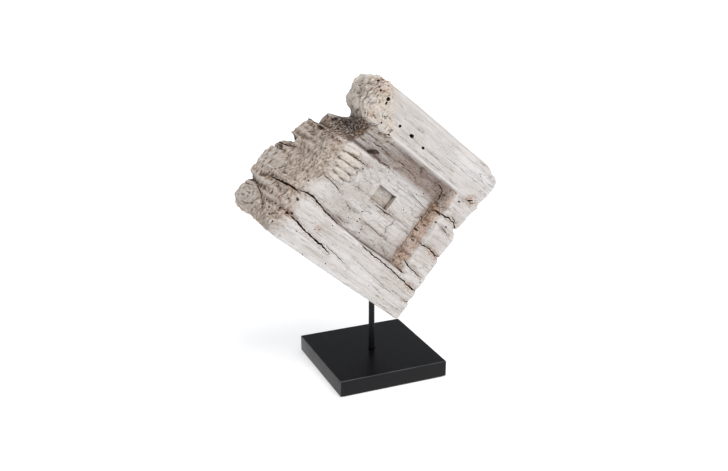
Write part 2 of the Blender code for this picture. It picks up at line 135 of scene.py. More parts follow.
RIGHT_END = ((-112, 113), (-88, 114), (-84, 111), (-70, 113), (-67, 111), (-50, 112.5),
             (-47, 110.5), (-20, 112), (-17, 109.5), (15, 110.5), (21, 107), (25, 101),
             (29, 106), (45, 108), (50, 107), (60, 110), (66, 112), (72, 109), (78, 111),
             (84, 112), (96, 114), (120, 113))
RIGHT_END_ZONE = 85

# Cracks on the front: points (u, v), width and depth
FRONT_CRACKS = {
    "beam_split": (((-115, -52), (-104, -49), (-98, -46.8), (-86, -47.2), (-70, -50.5),
                    (-52, -53.8), (-30, -55.6)), 2.5, 12),
    "beam_long": (((3, -58.6), (12, -60.3), (60, -63.2), (85, -66), (97, -67.2), (116, -67.6)),
                  2.1, 13),
    "beam_low": (((-101, -79.6), (-96, -80.2), (-80, -83.5), (-60, -86.5), (-40, -88.5),
                  (-25, -91.8)), 2.7, 11),
    "beam_low_second": (((-38, -85.3), (-13, -88.6), (6, -91)), 1.2, 6),
    "beam_hair": (((5, -78.5), (35, -82), (55, -84), (66, -87), (92, -88)), 0.7, 3),
    "beam_end_nick": (((99, -86.6), (105, -86), (117, -83)), 2.2, 8),
    "frame_middle": (((71.5, -13.8), (80, -14), (88, -13), (97, -14.4), (106, -16.6),
                      (117, -18)), 2.5, 13),
    "frame_middle_foot": (((64.5, -15.6), (68, -16.4), (73, -17.8)), 3.6, 9),
    "frame_upper": (((67, 30.5), (76, 32), (86, 33.4), (94, 32.6), (101, 27.5), (116, 23)),
                    2.8, 14),
    "frame_lower": (((71, -43.5), (76, -46), (86, -47.8), (102, -50.2)), 2.4, 10),
    "frame_upper_knot": (((87, 37.5), (92, 35.4), (98, 33.6)), 3.8, 8),
    "frame_knot": (((89, 65), (94, 67.8), (100, 71)), 5.0, 8),
    "frame_knot_branch": (((95, 65.4), (99, 66.4), (104, 69)), 2.0, 5),
    "frame_tick": (((84, 17.6), (90, 17), (99, 15.2)), 2.2, 5),
    "beam_long_knot": (((92, -66.8), (99, -67.6), (107, -67.6)), 4.0, 11),
    "panel_left": (((-103, -16.5), (-90, -18), (-72, -19.7), (-56, -23.5)), 1.6, 6),
    "flake": (((-80, 20), (-66, 21.6), (-48, 22)), 2.0, 6),
    "flake_foot": (((-64, 12.1), (-58, 12.6), (-51, 13.2)), 0.9, 3),
    "under_mortise": (((-13, -8.6), (0, -9.2), (14, -9.2), (24, -8.2)), 1.5, 5),
    "under_mortise_end": (((9, -9.2), (17, -9), (25.6, -8)), 4.0, 8),
    "panel_middle_left": (((-50, -5.9), (-33, -5.2), (-15, -4.1)), 0.8, 3),
    "panel_right": (((25, -5), (32.8, -6.5), (62.6, -8.6)), 0.8, 3),
    "panel_right_low": (((49.3, -13.7), (62, -14.2), (70, -14.5)), 0.8, 3),
    "panel_upper": (((24.3, 29.7), (50.9, 26.5), (66, 24.5)), 0.8, 3),
    "panel_top": (((37.6, 33.9), (47, 35.6), (57.3, 36.6)), 0.9, 3),
    "panel_slant": (((47, 9.5), (54, 8.6), (61.5, 13.2), (68, 20)), 1.0, 3),
    "panel_slant_low": (((50.9, 1.5), (57, 2.8), (62.6, 4.7)), 0.8, 3),
    "panel_low": (((-5.4, -35.2), (5, -35), (14.8, -35.2), (28.6, -36.4), (40, -36.7)), 1.3, 4),
    "panel_low_left": (((-42.6, -48.5), (-33, -49.4), (-26.7, -49.7), (-20, -48)), 1.6, 4),
    "panel_dark": (((-40.5, -29.3), (-36, -30.4), (-31, -32)), 1.5, 4),
    "panel_tie": (((-26.7, -32), (-19, -30.8), (-11.8, -29.9)), 0.9, 3),
    "panel_foot": (((-12.9, -55.2), (0, -55.6), (7.3, -56)), 1.0, 3),
    "panel_foot_right": (((38, -54.5), (46, -55.2), (54, -56)), 1.0, 3),
    "panel_corner": (((41.3, -48.5), (46.6, -50), (53.5, -52.7)), 1.6, 4),
    "panel_zigzag": (((30.7, -6), (33.4, -15.5), (29.1, -23), (32.3, -30.4), (35, -35.7)),
                     1.1, 3),
    "cove_start": (((-83, 46.5), (-73, 44.6), (-62, 45.4)), 1.7, 4),
    "cove_start_upper": (((-78, 53), (-67, 54.6), (-50, 56)), 1.5, 4),
    "cove_left": (((-62, 50), (-42, 51.5), (-20, 49)), 1.8, 5),
    "cove_middle": (((-18, 50.4), (6, 53.5)), 1.8, 5),
    "cove_line": (((-26, 48.7), (-10, 51.6), (12, 49.6), (27.5, 45.5)), 1.7, 4),
    "cove_cross": (((15, 61), (20, 57.6), (25.5, 54)), 2.4, 5),
    "cove_tick": (((-12.6, 40.5), (-8, 43.4), (-4, 46)), 1.8, 4),
    "cove_foot": (((-36, 36.4), (-30, 37.8), (-19, 38)), 2.2, 5),
    "wall_foot": (((63.4, 44), (64, 20), (63.6, -14), (64, -50)), 1.5, 2.5),
    "wall_corner": (((47.5, 59.5), (55, 58.6), (61.3, 56), (65.5, 49), (67.3, 41)), 3.4, 8),
    "wall_corner_branch": (((61.5, 50), (65, 49), (68, 50.5)), 2.0, 5),
    "wall_upper": (((62, 34.4), (67, 35), (70, 37.6), (74, 41.5)), 2.4, 6),
    "wall_upper_second": (((60, 25.6), (66, 26.5), (70, 29.5)), 1.6, 5),
    "wall_low": (((62, -37.4), (67, -35), (73, -34)), 2.0, 5),
    "wall_low_second": (((63, -25.6), (67, -26.4), (71, -25.8)), 1.8, 5),
    "wall_middle": (((59.5, 13.4), (63, 14.2), (67.4, 14.4)), 3.0, 7),
    "wall_sill": (((49, -55.6), (60, -56), (70, -56.6), (78, -57.4)), 1.9, 5),
}

# Cracks in the rotted end: points (w, v), width and depth along the grain
END_CRACKS = {
    "deep_slit": (((-20, -6.5), (-36, -5), (-56, -3)), 6.0, 15),
    "lower_slit": (((-14, -11), (-30, -14), (-54, -20)), 3.2, 11),
    "third_slit": (((-18, -21.5), (-36, -23.5), (-54, -25.5)), 2.6, 9),
    "beam_seam": (((56, -51), (40, -51.5), (18, -54), (0, -56.5), (-10, -58)), 3.4, 12),
    "beam_rift": (((56, -79.4), (44, -79.2), (32, -79.6)), 2.2, 6),
    "lobe_seam": (((15, -96), (6, -89), (-7, -80), (-15, -77.5), (-28, -74), (-40, -71),
                   (-56, -70)), 2.6, 6),
    "plate_edge": (((-22, 29.5), (-36, 31), (-56, 33)), 3.0, 9),
    "plate_shadow": (((-6, 14), (-14, 20), (-22, 25)), 3.0, 6),
}

# Cracks on the back: points (u, v), width and depth
BACK_CRACKS = {
    "back_long": (((-112, 12), (-60, 8), (-10, 11), (40, 6), (84, 8)), 2.6, 14),
    "back_upper": (((118, 58), (70, 54), (20, 57), (-18, 55)), 2.4, 11),
    "back_lower": (((-130, -60), (-84, -64), (-40, -62), (-6, -66)), 2.4, 10),
    "back_right": (((117, -34), (84, -31), (52, -35)), 2.2, 9),
}

CRACK_SEED = 41                       # of the random sway of the cracks, holes and pits

# Worm holes on the front: (u, v, width along u, width along v, depth)
WORM_HOLES = (
    (-85, 100, 6.2, 6.4, 7), (-84, 94.5, 4.0, 6.0, 6), (-30, 84, 8.4, 6.0, 8),
    (-7, 81.5, 6.6, 4.6, 7), (-51, 84, 5.6, 4.6, 6), (-75, 81, 2.6, 2.6, 5),
    (-74, 73, 3.4, 3.0, 5), (-56, 67.5, 5.0, 2.4, 5), (-109, 68, 4.0, 3.0, 6),
    (81.5, 58, 5.0, 2.6, 6), (88, 22.3, 4.0, 2.6, 5), (108, 50.5, 3.0, 3.0, 5),
    (65.4, -3.0, 6.4, 3.4, 7), (110, -36, 3.0, 2.2, 4), (106, -55, 2.6, 2.0, 4),
    (69, 8, 2.6, 2.2, 4), (72, 19, 2.4, 2.4, 4), (68, -44, 2.6, 2.2, 4),
    (-52.5, 16.4, 3.4, 3.0, 4), (-103, -59, 3.6, 3.0, 5),
    (43.5, 39.2, 3.0, 2.2, 4), (33.7, 7.9, 2.4, 2.2, 4), (36, 33, 2.4, 2.0, 4),
    (-31, -32, 2.8, 2.4, 4), (-13.4, -25.8, 2.8, 2.6, 4), (-9.7, -34.6, 3.0, 2.6, 4),
    (-10.2, -39.4, 3.6, 2.2, 4), (-25, -41.5, 2.6, 2.0, 4), (-0.6, -41, 1.8, 1.8, 4),
    (1, -45, 1.8, 1.8, 4), (2, -49, 2.0, 2.0, 4), (5.4, -56.2, 3.2, 2.0, 4),
    (-28.3, 0, 2.0, 1.8, 4), (-16, 33.4, 2.6, 2.0, 4),
    (-22, -104, 2.6, 2.0, 4), (-55, -110, 2.6, 1.8, 4), (-80, -91.5, 3.0, 1.8, 4),
    (-45, -61, 2.4, 2.0, 4), (-61, -77, 2.6, 2.0, 4),
)
WORM_HOLE_RUN_OUT = 4                 # how far a worm hole's cutter reaches out of the wood
MORTISE = ((-15, 15), (-7, 15), 7)    # u range, v range and depth below the panel
MORTISE_TAPER = 0.8
BORE_RUN_OUT = 20                     # how far the rod bore's cutter reaches below the wood
HOLLOW_CENTRE = (-109, 41, 30)        # the rotted hollow under the ridge's end
HOLLOW_RADII = (27, 13.5, 60)
HOLLOW_TURN = math.radians(28)
POCKET_CENTRE = (-51, 40.5, 31)       # the small dark pocket at the cove's foot
POCKET_RADII = (9.5, 3.4, 9)
POCKET_TURN = math.radians(28)

# Scoops rotted out of the left end: (centre, radii, turn in degrees)
SCOOPS = (
    ((-125, -13, -26), (8, 3.6, 9), -20), ((-128, -19.5, -32), (7, 2.4, 8), -20),
    ((-118, -70, -8), (6, 3.0, 9), 10), ((-108, 27, -8), (7, 3.0, 10), -10),
)

# Pits in the rotted end, the ridge and the beam: (u, v, w, radius)
PITS = (
    (-103, 97, -1, 1.6), (-103, 92, 19, 1.4), (-95, 71, 21, 1.7), (-100, 112, 29, 2.0),
    (-97, 116, 31, 1.9), (-99, 106, 39, 1.7), (-97, 103, 44, 1.7), (-98, 84, 8, 1.3),
    (-108, -84, 35, 1.7), (-100, -80, 41, 2.4), (-96, -77, 45, 2.1), (-102, -60, 48, 1.9),
    (-104, -82, 30, 2.0), (-107, -76, 22, 1.6), (-112, -82, 8, 1.8), (-110, -72, 14, 1.4),
    (-115, -56, -12, 1.3), (-118, -88, -16, 1.2), (-120, -24, -8, 1.3), (-116, -34, 4, 1.2),
    (-106, -66, 38, 1.4), (-113, -88, 20, 1.5), (-110, -95, 26, 1.4), (-104, -98, 36, 1.3),
    (-106, -34, 46, 1.2), (-112, -12, 34, 1.3), (-109, 8, 40, 1.2), (-114, 20, 12, 1.5),
)

# Bumps and dents on the ridge's end: (u, v, w, radius, height)
BUMPS = (
    (-101, 111, -1, 4.5, 3.6), (-98, 116, 13, 4, 3.0), (-99, 99, -23, 6, 3.4),
    (-97, 77, -16, 7, 4.4), (-96, 87, -28, 6, -2.4), (-100, 105, -14, 4, -1.8),
    (-102, 104, 8, 5, 2.2), (-101, 92, 0, 5, 2.0), (-100, 96, 22, 6, 2.2), (-97, 84, 30, 5, 1.8),
)

# Flakes of old surface left on the panel: (u, v, half length, half width, height, turn)
FLAKES = (
    (-78, 15, 22, 5.5, 3.0, 4), (-76, 5.5, 19, 5.0, 2.7, 2), (-75, -4, 16, 4.6, 2.2, -3),
    (-84, 24.5, 16, 4.0, 1.8, 9), (-80, -12, 15, 3.6, 1.5, -4),
)

# Pits on the back, at seeded places: how many, and the ranges of their u, v and radius
BACK_PITS = 16
BACK_PIT_U = (-95, 100)
BACK_PIT_V = (-95, 105)
BACK_PIT_RADIUS = (0.9, 1.8)
PIT_SINK = 0.3                        # how deep a pit's middle lies, as a share of its radius

# Rot and crumbling: u of the rotted end's border, and of the knobbly border at that v
ROT_BORDER = -104
ROT_FADE = 9
KNOB_BORDER_U, KNOB_BORDER_V = -40, 62
KNOB_BORDER_SLOPE = 1.04
KNOB_END = (-84, -76)

LOBE_CENTRE = (-93, -30)              # v and w of the lobe's pith, with rings round it
LOBE_REACH = 20
RING_STEP = 6

# Two smooth areas on the rotted end, the lobe and the tongue: (v, w, radius in v, radius in w)
END_SMOOTH = ((-93, -30, 21, 27), (-42, -24, 19, 27))

# Fine grain lines on the rotted end: points (w, v) and width
END_LINES = (
    (((-48, -84), (-36, -81.5), (-25, -79)), 1.1),
    (((-30, -104), (-18, -102.7), (-7, -96.4), (-4, -87.5)), 1.2),
    (((-46, -93), (-34, -89), (-20, -90)), 0.8),
    (((-24, -64), (-30, -50), (-40, -32)), 0.9),
    (((-21, -62), (-23, -44), (-27, -27)), 0.9),
    (((-17, -60), (-6, -44), (6, -31)), 0.9),
    (((-24, -63), (-10, -57), (4, -53), (14, -51)), 2.6),
)

# Brown and rusty spots on the wood: (u, v, w, radius)
RUST_SPOTS = (
    (-98, 115, 27, 9), (-96, 112, 38, 9), (-94, 105, 44, 6), (-110, -70, 27, 5), (-101, -79, 42, 6),
    (-108, -84, 34, 4), (-70, 22, 40, 6), (-92, 70, 47, 5), (-62, 60, 46, 5), (-96, 52, 18, 6),
    (92, -15, 49, 5), (104, -17, 49, 5), (96, -67, 50, 5), (94, 69, 49, 5), (-58, -74, 50, 4),
    (70, 14, 36, 6), (68, 32, 34, 6), (70, -34, 34, 5),
)


def linear(code):
    """An sRGB hex colour as linear red, green, blue and alpha."""
    parts = [int(code[i:i + 2], 16) / 255 for i in (1, 3, 5)]
    return (*[p / 12.92 if p <= 0.04045 else ((p + 0.055) / 1.055) ** 2.4 for p in parts], 1.0)


def add_node(tree, kind, settings=None, inputs=None):
    """Adds a shader node; each input is a value, or the output socket it is linked from."""
    node = tree.nodes.new("ShaderNode" + kind)
    for key, value in (settings or {}).items():
        setattr(node, key, value)
    for key, value in (inputs or {}).items():
        if isinstance(value, bpy.types.NodeSocket):
            tree.links.new(value, node.inputs[key])
        else:
            node.inputs[key].default_value = value
    return node


def new_material(name):
    """A new material, its node tree and its shader node."""
    finish = bpy.data.materials.new(name)
    finish.use_nodes = True
    return finish, finish.node_tree, finish.node_tree.nodes["Principled BSDF"]


def mottled(tree, shader, size, detail, dark, light, distortion=0.0):
    """Colours a finish dark and light in grains of that size in mm, and returns the grain."""
    place = add_node(tree, "TexCoord")
    grain = add_node(tree, "TexNoise", None, {
        "Vector": place.outputs["Object"], "Scale": 1 / (size * MM), "Detail": detail,
        "Distortion": distortion}).outputs["Fac"]
    tone = add_node(tree, "Mix", {"data_type": "RGBA"}, {
        "Factor": grain, "A": linear(dark), "B": linear(light)})
    tree.links.new(tone.outputs["Result"], shader.inputs["Base Color"])
    return grain


def set_camera():
    """The photograph's viewpoint, level, with no shift."""
    azimuth = math.radians(VIEW_AZIMUTH)
    elevation = math.radians(VIEW_ELEVATION)
    back = Vector((math.sin(azimuth) * math.cos(elevation),
                   -math.cos(azimuth) * math.cos(elevation), math.sin(elevation)))
    right = Vector((math.cos(azimuth), math.sin(azimuth), 0))
    up = back.cross(right)
    lens = bpy.data.cameras.new("photo_view")
    lens.sensor_width = SENSOR_WIDTH
    lens.lens = FOCAL_PIXELS / PHOTO_WIDTH * lens.sensor_width
    camera = bpy.data.objects.new("photo_view", lens)
    bpy.context.scene.collection.objects.link(camera)
    camera.matrix_world = Matrix((right, up, back)).transposed().to_4x4()
    camera.location = VIEW_PLACE
    bpy.context.scene.camera = camera


def add_key_light():
    """A wide and so soft sun, from the upper right in front."""
    light = bpy.data.objects.new("key", bpy.data.lights.new("key", "SUN"))
    light.data.energy = KEY_STRENGTH
    light.data.color = linear("#FFFDFA")[:3]
    light.data.angle = KEY_WIDTH
    light.location = KEY_FROM
    light.rotation_euler = (-Vector(KEY_FROM)).to_track_quat("-Z", "Y").to_euler()
    bpy.context.scene.collection.objects.link(light)


def set_stage():
    """A white floor under a wide soft sky that is dim behind the object, and a soft key light."""
    scene = bpy.context.scene
    scene.view_settings.view_transform = "Standard"
    world = bpy.data.worlds.new("studio")
    scene.world = world
    world.use_nodes = True
    tree = world.node_tree
    place = add_node(tree, "TexCoord")
    facing = add_node(tree, "VectorMath", {"operation": "DOT_PRODUCT"}, {
        0: place.outputs["Generated"], 1: SKY_FROM})
    share = add_node(tree, "MapRange", {"interpolation_type": "SMOOTHSTEP"}, {
        "Value": facing.outputs["Value"], "From Min": -0.75, "From Max": 0.6})
    tone = add_node(tree, "Mix", {"data_type": "RGBA"}, {
        "Factor": share.outputs["Result"], "A": linear("#6E7074"), "B": linear("#DCDEE2")})
    background = tree.nodes["Background"]
    tree.links.new(tone.outputs["Result"], background.inputs["Color"])

    finish, tree, shader = new_material("studio_floor_white")
    shader.inputs["Base Color"].default_value = linear("#D8D8D8")
    shader.inputs["Roughness"].default_value = 0.7
    shader.inputs["Emission Color"].default_value = linear("#FFFFFF")
    shader.inputs["Emission Strength"].default_value = FLOOR_GLOW
    bpy.ops.mesh.primitive_plane_add(size=FLOOR_SIZE, location=(0, 0, 0))
    floor = bpy.context.object
    floor.name = "studio_floor"
    floor.data.materials.append(finish)
    add_key_light()


def object_from(shape, name):
    """An object made of a bmesh, which is freed, with its faces pointing out."""
    bmesh.ops.recalc_face_normals(shape, faces=shape.faces)
    if shape.calc_volume(signed=True) < 0:
        bmesh.ops.reverse_faces(shape, faces=shape.faces)
    mesh = bpy.data.meshes.new(name)
    shape.to_mesh(mesh)
    shape.free()
    thing = bpy.data.objects.new(name, mesh)
    bpy.context.scene.collection.objects.link(thing)
    return thing


def cut_from(thing, cutters, solver="MANIFOLD"):
    """Cuts the cutters out of an object, applies the cut, and removes the cutters."""
    cuts = bpy.data.collections.new("cuts")
    for cutter in cutters:
        cuts.objects.link(cutter)
    cut = thing.modifiers.new("cut", "BOOLEAN")
    cut.operation = "DIFFERENCE"
    cut.operand_type = "COLLECTION"
    cut.collection = cuts
    cut.solver = solver
    graph = bpy.context.evaluated_depsgraph_get()
    carved = bpy.data.meshes.new_from_object(thing.evaluated_get(graph))
    thing.modifiers.clear()
    thing.data = carved
    for cutter in cutters:
        bpy.data.objects.remove(cutter, do_unlink=True)
    bpy.data.collections.remove(cuts)


def smooth(piece, sharp_from):
    """Smooth shading, with an edge left sharp where it turns by that many degrees or more."""
    piece.data.shade_smooth()
    piece.data.set_sharp_from_angle(angle=math.radians(sharp_from))


def wood_matrix():
    """Places the wood's own frame, in millimetres, in the world, in metres."""
    c = math.cos(GRAIN_TILT)
    s = math.sin(GRAIN_TILT)
    turn = Matrix(((c, s, 0), (0, 0, -1), (-s, c, 0))).to_4x4()
    lift = Matrix.Translation((0, 0, WOOD_CENTRE_HEIGHT * MM))
    return lift @ turn @ Matrix.Scale(MM, 4)


def ease(start, end, value):
    """0 before the start, 1 past the end, and a smooth rise between them."""
    t = np.clip((value - start) / (end - start), 0, 1)
    return t * t * (3 - 2 * t)


def band(start, full, fading, end, value):
    """A smooth rise from start to full, 1 from there to fading, and a smooth fall to the end."""
    return ease(start, full, value) * (1 - ease(fading, end, value))


def ramp(start, end, value):
    """0 before the start, 1 past the end, and a straight rise between them."""
    return np.clip((value - start) / (end - start), 0, 1)


def profile(points, value):
    """Reads a value off a line of points."""
    table = np.array(points, dtype=float)
    return np.interp(value, table[:, 0], table[:, 1])


def wander(points, scale, seed):
    """Smooth noise of about -1 to 1 at each point, drawn out by scale along u, v and w."""
    scaled = points / np.array(scale, dtype=float) + seed * 17.3
    return np.array([noise.noise(place) for place in scaled.tolist()])


def crumble(points, scale, seed):
    """Mounds of three sizes with creases between them, from about -0.4 in those to 0.6."""
    scaled = points / np.array(scale, dtype=float) + seed * 17.3
    return np.array([noise.turbulence(place, 3, True) for place in scaled.tolist()]) - 0.4


def block_grid():
    """A unit cube cut into cells, which is then spread over the block's size."""
    shape = bmesh.new()
    bmesh.ops.create_cube(shape, size=1.0)
    for axis, count in enumerate(CELLS):
        along = [e for e in shape.edges if abs(e.verts[0].co[axis] - e.verts[1].co[axis]) > 1e-6]
        bmesh.ops.subdivide_edges(shape, edges=along, cuts=count - 1, use_grid_fill=True)
    return shape


def spread(share, layout, count, edges=()):
    """Grid places from -0.5..0.5 to the block's size, with the nearest places on the edges."""
    steps = np.linspace(0, 1, count + 1)
    placed = profile(layout, steps)
    for edge in edges:
        placed[np.argmin(abs(placed - edge))] = edge
    return np.interp(share + 0.5, steps, placed)


def round_edge(first, second, limits, signs, radius):
    """Presses the square corner of two coordinates into a round one of that radius."""
    corner_1 = max(limits[0], key=lambda end: end * signs[0]) - signs[0] * radius
    corner_2 = max(limits[1], key=lambda end: end * signs[1]) - signs[1] * radius
    a = np.maximum((first - corner_1) * signs[0], 0)
    b = np.maximum((second - corner_2) * signs[1], 0)
    inside = (a > 0) & (b > 0)
    share = np.where(inside, np.maximum(a, b) / np.maximum(np.hypot(a, b), 1e-9), 1.0)
    new_first = np.where(inside, corner_1 + signs[0] * a * share, first)
    new_second = np.where(inside, corner_2 + signs[1] * b * share, second)
    return new_first, new_second


def left_end(v, w):
    """u of the rotted left end: its two outlines, swollen at the ridge and filled at notches.

    4 * back * (1 - back) is 1 in mid depth and 0 at the front and the back.
    """
    back = ramp(W_FACES[1], W_FACES[0], w)
    swell = KNOB_BULGE * 4 * back * (1 - back) * ease(COVE_TOP - 4, COVE_TOP + 10, v)
    swell += SLIT_FILL * back * ease(*SLIT_FILL_W, w) * np.exp(-((v - SLIT_V) / SLIT_SPREAD) ** 2)
    swell += NOTCH_FILL * 4 * back * (1 - back) * np.exp(-((v - NOTCH_V) / NOTCH_SPREAD) ** 2)
    return profile(LEFT_FRONT, v) * (1 - back) + profile(LEFT_BACK, v) * back - swell


def beam_edge(u):
    """v of the beam's inner edge."""
    return np.interp(u, BEAM_EDGE_U, BEAM_EDGE_V)


def front_depth(u, v):
    """How far the carved front lies behind the block's front face."""
    flat = np.stack((u, v, 0 * u), axis=1)
    inner = 1 - ramp(WALL_FOOT, WALL_TOP, u + WALL_STRAY * wander(flat, (14, 7, 9), 21))
    above_beam = ramp(beam_edge(u) - BEAM_WALL, beam_edge(u), v)
    cove = np.sqrt(1 - ramp(COVE_FOOT, COVE_TOP, v) ** 2)
    panel = PANEL_DEPTH * ease(*PANEL_FADE, u)
    channel = CHANNEL_DEPTH * ease(CHANNEL_START, COVE_FOOT, v)
    return np.maximum(panel, channel) * inner * above_beam * cove


def front_surface(u, v):
    """w of the carved front at one place."""
    return W_FACES[1] - float(front_depth(np.array([float(u)]), np.array([float(v)]))[0])


def shape_block(points):
    """Moves the grid's points from the plain box to the weathered block."""
    u = spread(points[:, 0], U_LINES, CELLS[0], (WALL_FOOT, WALL_TOP))
    v = spread(points[:, 1], V_LINES, CELLS[1], (BEAM_EDGE - BEAM_WALL, BEAM_EDGE))
    w = spread(points[:, 2], W_LINES, CELLS[2])
    for signs, radius in ROUND_V_W:
        v, w = round_edge(v, w, (V_SIDES, W_FACES), signs, radius)
    for signs, radius in ROUND_U_V:
        u, v = round_edge(u, v, (U_ENDS, V_SIDES), signs, radius)
    for signs, radius in ROUND_U_W:
        u, w = round_edge(u, w, (U_ENDS, W_FACES), signs, radius)
    left_share = ramp(LEFT_END_ZONE, U_ENDS[0], u)
    u = u + (left_end(v, w) - U_ENDS[0]) * left_share
    right_share = ramp(RIGHT_END_ZONE, U_ENDS[1], u)
    u = u + (profile(RIGHT_END, v) - U_ENDS[1]) * right_share
    v = v + (beam_edge(u) - BEAM_EDGE) * (1 - ramp(0, BEAM_BEND_REACH, abs(v - BEAM_EDGE)))
    w = w - front_depth(u, v) * ramp(0, W_FACES[1], w)
    return np.stack((u, v, w), axis=1)


def distance_to(line, first, second):
    """Distance of each point to a line of points in a plane."""
    nearest = np.full(len(first), 1e9)
    for (a1, a2), (b1, b2) in zip(line, line[1:]):
        length = (b1 - a1) ** 2 + (b2 - a2) ** 2
        t = np.clip(((first - a1) * (b1 - a1) + (second - a2) * (b2 - a2)) / length, 0, 1)
        gap = np.hypot(first - a1 - t * (b1 - a1), second - a2 - t * (b2 - a2))
        nearest = np.minimum(nearest, gap)
    return nearest


def crack_nearness(points, facing, spread_mm):
    """0 to 1, near the cracks of the side that each point faces."""
    u, v, w = points.T
    near = np.zeros(len(points))
    for cracks, first, second, side in (
            (FRONT_CRACKS, u, v, facing[:, 2] > 0.15), (END_CRACKS, w, v, facing[:, 0] < -0.15),
            (BACK_CRACKS, u, v, facing[:, 2] < -0.3)):
        for line, width, _ in cracks.values():
            gap = distance_to(line, first, second)
            reach = spread_mm * (0.5 + width / 3)
            near = np.maximum(near, np.exp(-(gap / reach) ** 2) * side * min(width / 2, 1))
    return near


def knobbly(points):
    """0 to 1 over the ridge's knobbly end and left part, whose border runs down to the right."""
    u, v, w = points.T
    border = KNOB_BORDER_U - (v - KNOB_BORDER_V) * KNOB_BORDER_SLOPE
    front = (1 - ease(-12, 12, u - border)) * ease(5, 35, w)
    end = 1 - ease(*KNOB_END, u)
    return np.maximum(front, end) * ease(COVE_TOP - 12, COVE_TOP, v)


def rotted(points):
    """0 to 1 over the rotted left end, with a wavy border that runs further in at mid height."""
    u, v, _ = points.T
    wave = 9 * wander(points, (400, 22, 22), 11)
    border = ROT_BORDER + 12 * band(-42, -10, 24, 34, v)
    return 1 - ease(-ROT_FADE, ROT_FADE, u + wave - border)


def calm(points):
    """0 to 1 over the rotted end's two smooth areas."""
    share = np.zeros(len(points))
    for cv, cw, rv, rw in END_SMOOTH:
        reach = np.hypot((points[:, 1] - cv) / rv, (points[:, 2] - cw) / rw)
        share = np.maximum(share, 1 - ease(0.7, 1.1, reach))
    return share


def end_lines(points, facing):
    """0 to 1 on the fine grain lines of the rotted end."""
    near = np.zeros(len(points))
    for line, width in END_LINES:
        gap = distance_to(line, points[:, 2], points[:, 1])
        near = np.maximum(near, np.exp(-(gap / width) ** 2))
    reach = np.hypot(points[:, 1] - LOBE_CENTRE[0], points[:, 2] - LOBE_CENTRE[1])
    reach += 1.6 * wander(points, (9, 9, 9), 25)
    rings = np.exp(-(((reach % RING_STEP) - RING_STEP / 2) / 0.8) ** 2)
    near = np.maximum(near, 0.6 * rings * (1 - ease(LOBE_REACH - 4, LOBE_REACH, reach)))
    return near * (facing[:, 0] < -0.1)


def flake_place(points):
    """How far out of each flake's middle a point lies, 1 at its rim, and the flake's height."""
    u, v, _ = points.T
    reach = np.full(len(points), 9.0)
    height = np.zeros(len(points))
    for cu, cv, long, wide, high, turn in FLAKES:
        c = math.cos(math.radians(turn))
        s = math.sin(math.radians(turn))
        a = ((u - cu) * c + (v - cv) * s) / long
        b = ((v - cv) * c - (u - cu) * s) / wide
        here = np.hypot(a, b)
        reach = np.minimum(reach, here)
        height = np.maximum(height, high * np.sqrt(np.maximum(1 - here ** 2, 0)))
    return reach, height


def blob(points, centre, radii):
    """1 in the middle of a round spot, fading out past its radii."""
    away = (((points - np.array(centre)) / np.array(radii)) ** 2).sum(axis=1)
    return np.exp(-away)


def weather(shape):
    """Swells, frets and wears the surface along its own normals.

    Heights and noise sizes are in millimetres; the last number of a noise is its seed.
    """
    shape.normal_update()
    points = np.array([vert.co for vert in shape.verts])
    normals = np.array([vert.normal for vert in shape.verts])
    u, v, w = points.T
    rot = rotted(points)
    rough = rot * (1 - 0.7 * calm(points))
    knob = knobbly(points)
    front = ease(0.2, 0.7, normals[:, 2])
    cove = front * band(COVE_FOOT - 2, COVE_FOOT + 5, COVE_TOP - 6, COVE_TOP, v)
    lift = 0.9 * wander(points, (70, 26, 30), 1) + 0.5 * wander(points, (34, 8, 11), 2)
    swirl = 7 * np.stack([wander(points, (16, 16, 16), seed) for seed in (31, 32, 33)], axis=1)
    coarse = crumble(points + swirl, (10, 16, 10), 3)
    small = crumble(points + swirl, (4.5, 9, 4.5), 4)
    plates = np.tanh(3 * wander(points, (44, 7, 44), 6)) * (1 + 0.9 * ease(20, -20, w))
    lift += rot * (0.9 - 0.6 * calm(points)) * plates
    lift += rough * (1.6 * wander(points, (24, 12, 20), 12) + 2.4 * coarse + 1.8 * small)
    lift -= 1.5 * end_lines(points, normals) * rot
    lift += knob * (2.0 * wander(points, (12, 9, 12), 7) + 3.6 * coarse + 2.0 * small)
    lift += knob * rot * 4.5 * crumble(points + swirl, (8, 8, 9), 18)
    lift += knob * rot * 3.6 * wander(points, (5, 4.5, 5), 26)
    for *centre, radius, height in BUMPS:
        lift += height * blob(points, centre, (radius,) * 3)
    wall = band(WALL_FOOT - 4, WALL_FOOT, WALL_TOP, WALL_TOP + 4, u) * band(-60, -56, 58, 64, v)
    lift += wall * (2.0 * small + 0.6 * wander(points, (6, 5, 8), 16))
    lift += (1 - rot) * 0.28 * wander(points, (40, 2.8, 2.8), 9)
    lift += (1 - rot) * front * 0.25 * wander(points, (7, 5, 7), 10)
    lift += cove * 0.7 * wander(points, (26, 2.4, 4), 14)
    lift += flake_place(points)[1] * front
    jagged = u + 3 * wander(points, (6, 5, 6), 15)
    mound = (1 - ramp(-59, -57, jagged)) * band(-8, -2, 18, 22, v)
    lift += 1.4 * mound * ease(-104, -84, u) * front
    lift -= 1.1 * crack_nearness(points, normals, 2.4)
    moved = points + normals * lift[:, None]
    for vert, place in zip(shape.verts, moved):
        vert.co = place


